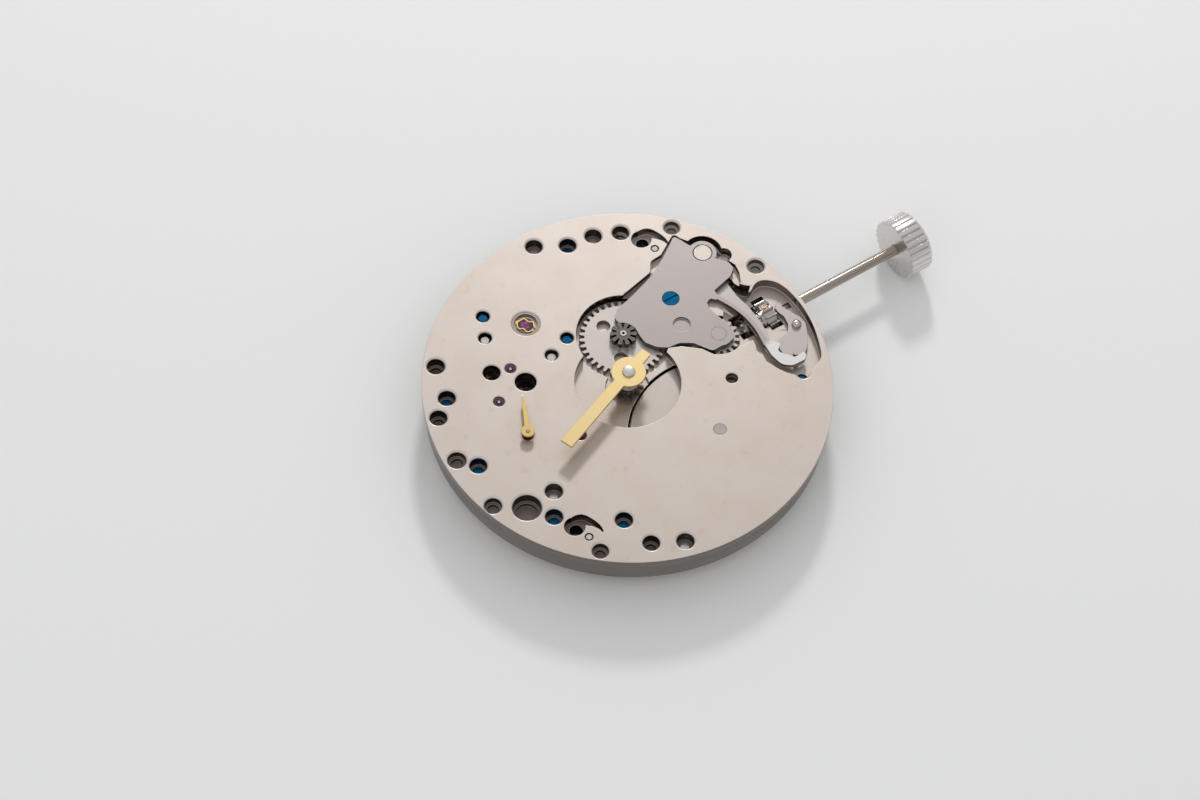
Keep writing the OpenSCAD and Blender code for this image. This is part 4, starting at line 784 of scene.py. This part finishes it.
class MOVEMENT_OT_keyless(Operator):
    """Finish the stem, the clutch, the levers and the setting wheels"""

    bl_idname = "movement.keyless"
    bl_label = "Keyless works"

    def execute(self, context):
        steel = tuple(colours().steel)
        flat = satin_steel("keyless_steel", steel, 0.25, 0.30)
        for node in ("setting_lever", "yoke"):
            eased(node, sizes().steel_edge * 0.6, flat)
        dress("sliding_clutch", polished_steel("sliding_clutch_steel", steel, 0.2))
        for node in ("winding_pinion", "setting_lever_screw", "yoke_spring"):
            dress(node, polished_steel(node + "_steel", steel, 0.2))
        for node in ("setting_wheel", "intermediate_wheel"):
            eased(node, sizes().wheel_edge, flat)
        eased("lever_jumper", sizes().steel_edge, jumper_finish(), merge=True)
        return {"FINISHED"}


class MOVEMENT_OT_crown(Operator):
    """Finish the winding stem and the fluted crown"""

    bl_idname = "movement.crown"
    bl_label = "Stem and crown"

    def execute(self, context):
        steel = polished_steel("stem_steel", (0.46, 0.40, 0.35), 0.24)
        stem = eased("stem", sizes().steel_edge, steel)
        self.neck(stem)
        self.thread(steel)
        bright = polished_steel("crown_steel", tuple(colours().bright), 0.20)
        eased("crown", sizes().steel_edge * 1.6, bright)
        return {"FINISHED"}

    def neck(self, stem):
        """The stem's shank, reduced to the root of its thread."""
        only(stem)
        bpy.ops.object.mode_set(mode="EDIT")
        for x in (THREAD_FROM, THREAD_FROM + 0.04, THREAD_TO):
            bpy.ops.mesh.select_all(action="SELECT")
            bpy.ops.mesh.bisect(plane_co=(x * MM, 0, 0), plane_no=(1, 0, 0))
        bpy.ops.mesh.select_all(action="DESELECT")
        bpy.ops.object.mode_set(mode="OBJECT")
        for point in stem.data.vertices:
            point.select = THREAD_FROM + 0.02 < point.co.x / MM < THREAD_TO + 0.01
        bpy.ops.object.mode_set(mode="EDIT")
        share = (THREAD_CREST - THREAD_DEEP) / THREAD_CREST
        bpy.ops.transform.resize(
            value=(1, share, share), center_override=(0, 0, -STEM_DEPTH * MM)
        )
        bpy.ops.object.mode_set(mode="OBJECT")

    def thread(self, steel):
        """The fine thread that the crown is screwed to."""
        bpy.ops.object.select_all(action="DESELECT")
        middle = THREAD_CREST - THREAD_HALF
        bpy.ops.mesh.primitive_circle_add(
            vertices=4,
            radius=THREAD_HALF * MM,
            location=((THREAD_FROM + 0.12) * MM, middle * MM, 0),
        )
        thread = bpy.context.view_layer.objects.active
        thread.name = "stem_thread"
        bpy.ops.object.transform_apply(location=True)
        turns = int((THREAD_TO - THREAD_FROM - 0.2) / THREAD_PITCH)
        sweep = thread.modifiers.new("sweep", "SCREW")
        sweep.axis = "X"
        sweep.screw_offset = THREAD_PITCH * MM
        sweep.iterations = turns
        sweep.steps = THREAD_STEPS
        sweep.render_steps = THREAD_STEPS
        bpy.ops.object.modifier_apply(modifier=sweep.name)
        bpy.ops.object.mode_set(mode="EDIT")
        bpy.ops.mesh.select_all(action="SELECT")
        bpy.ops.mesh.fill_holes(sides=4)
        bpy.ops.mesh.select_all(action="SELECT")
        bpy.ops.mesh.normals_make_consistent(inside=False)
        bpy.ops.object.mode_set(mode="OBJECT")
        thread.location.z = -STEM_DEPTH * MM
        bpy.ops.object.transform_apply(location=True)
        bpy.ops.object.shade_smooth_by_angle(angle=SMOOTH_ANGLE)
        thread.data.materials.append(steel)
        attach(thread, BODY_OF["stem"])


class MOVEMENT_OT_motion_work(Operator):
    """Finish the cannon pinion and the minute wheel"""

    bl_idname = "movement.motion_work"
    bl_label = "Motion work"

    def execute(self, context):
        bright = tuple(colours().bright)
        cannon = polished_steel("cannon_steel", bright, 0.20, CANNON_LEAVES_TOP)
        eased("cannon_pinion", sizes().wheel_edge, cannon)
        tone = (0.56, 0.50, 0.46)
        foot = MINUTE_PINION_FOOT
        wheel = turned_steel("minute_wheel_steel", tone, MINUTE_WHEEL, 0.30, foot)
        eased("minute_wheel", sizes().wheel_edge, wheel)
        return {"FINISHED"}


class MOVEMENT_OT_hands(Operator):
    """Finish the minute hand and the seconds hand"""

    bl_idname = "movement.hands"
    bl_label = "Hands"

    def execute(self, context):
        minute_gilt = gilt_finish("minute_gilt", tuple(colours().gilt), 0.6)
        eased("minute_hand", sizes().hand_edge, minute_gilt)
        seconds_gilt = gilt_finish("seconds_gilt", (0.74, 0.54, 0.22), 1.9)
        eased("seconds_hand", sizes().hand_edge * 0.7, seconds_gilt)
        return {"FINISHED"}


class MOVEMENT_OT_stage(Operator):
    """Lay the pale floor, set the soft light and place the camera"""

    bl_idname = "movement.stage"
    bl_label = "Floor, light and camera"

    def execute(self, context):
        low = CAD_BOX[0].z
        bpy.ops.object.select_all(action="DESELECT")
        bpy.ops.mesh.primitive_plane_add(size=3.0, location=(0.0, 0.0, low - 0.00002))
        floor = bpy.context.view_layer.objects.active
        floor.name = "floor"
        floor.data.materials.append(floor_finish())
        self.lamps()
        self.world()
        self.camera()
        return {"FINISHED"}

    def lamps(self):
        """A soft window behind the movement and a wide weak light in front of it."""
        for name, place, size, power in (
            ("window", (0.19, 0.27, 0.22), 0.05, 0.50),
            ("room", (-0.30, -0.12, 0.30), 0.30, 0.10),
        ):
            bpy.ops.object.light_add(type="AREA", location=place)
            lamp = bpy.context.view_layer.objects.active
            lamp.name = name
            lamp.data.size = size
            lamp.data.energy = power
            lamp.rotation_euler = Vector(place).to_track_quat("Z", "Y").to_euler()

    def world(self):
        """A pale room that grows lighter towards the window."""
        world = bpy.data.worlds.new("room")
        bpy.context.scene.world = world
        world.use_nodes = True
        sheet = Sheet(world.node_tree)
        facing = sheet.add(
            "ShaderNodeVectorMath",
            {"operation": "DOT_PRODUCT"},
            {0: sheet.add("ShaderNodeTexCoord", output="Generated"), 1: WINDOW_SIDE},
            output="Value",
        )
        level = facing.step(-0.5, 0.9) * (ROOM_LIGHT - ROOM_DARK) + ROOM_DARK
        back = world.node_tree.nodes["Background"]
        sheet.feed(back.inputs["Strength"], level)
        sheet.feed(back.inputs["Color"], (0.98, 0.99, 1.0))

    def camera(self):
        """The camera, at the height and tilt at which the movement was seen."""
        back = Vector((-0.3136, -0.4277, 0.8478)).normalized()
        level = Vector((0.8064, -0.5913, 0.0)).normalized()
        roll = math.radians(3.76)
        right = level * math.cos(roll) + back.cross(level) * math.sin(roll)
        up = back.cross(right)
        lens = bpy.data.cameras.new("camera")
        lens.lens = 90.0
        lens.sensor_width = 36.0
        lens.clip_start = 0.01
        lens.clip_end = 20.0
        camera = bpy.data.objects.new("camera", lens)
        bpy.context.scene.collection.objects.link(camera)
        turn = Matrix((right, up, back)).transposed().to_4x4()
        camera.matrix_world = Matrix.Translation((-0.0863, -0.1137, 0.2248)) @ turn
        bpy.context.scene.camera = camera
        bpy.context.scene.view_settings.view_transform = "Standard"


STEPS = (
    MOVEMENT_OT_plates,
    MOVEMENT_OT_fastenings,
    MOVEMENT_OT_jewels,
    MOVEMENT_OT_power,
    MOVEMENT_OT_train,
    MOVEMENT_OT_balance,
    MOVEMENT_OT_keyless,
    MOVEMENT_OT_crown,
    MOVEMENT_OT_motion_work,
    MOVEMENT_OT_hands,
    MOVEMENT_OT_stage,
)


class MOVEMENT_PT_panel(Panel):
    """The steps that finish the movement"""

    bl_label = "Watch movement"
    bl_idname = "MOVEMENT_PT_panel"
    bl_space_type = "VIEW_3D"
    bl_region_type = "UI"
    bl_category = "Movement"

    def draw(self, context):
        layout = self.layout
        for group in (context.scene.movement_sizes, context.scene.movement_colours):
            box = layout.box()
            for key in group.bl_rna.properties.keys():
                if key not in {"rna_type", "name"}:
                    box.prop(group, key)
        for step in STEPS:
            layout.operator(step.bl_idname)


CLASSES = (MovementSizes, MovementColours, *STEPS, MOVEMENT_PT_panel)


def register():
    for cls in CLASSES:
        bpy.utils.register_class(cls)
    bpy.types.Scene.movement_sizes = PointerProperty(type=MovementSizes)
    bpy.types.Scene.movement_colours = PointerProperty(type=MovementColours)


def unregister():
    del bpy.types.Scene.movement_colours
    del bpy.types.Scene.movement_sizes
    for cls in reversed(CLASSES):
        bpy.utils.unregister_class(cls)


def main():
    """Registers the add-on and makes every piece."""
    register()
    bpy.ops.movement.plates()
    bpy.ops.movement.fastenings()
    bpy.ops.movement.jewels()
    bpy.ops.movement.power()
    bpy.ops.movement.train()
    bpy.ops.movement.balance()
    bpy.ops.movement.keyless()
    bpy.ops.movement.crown()
    bpy.ops.movement.motion_work()
    bpy.ops.movement.hands()
    bpy.ops.movement.stage()


if __name__ == "__main__":
    main()
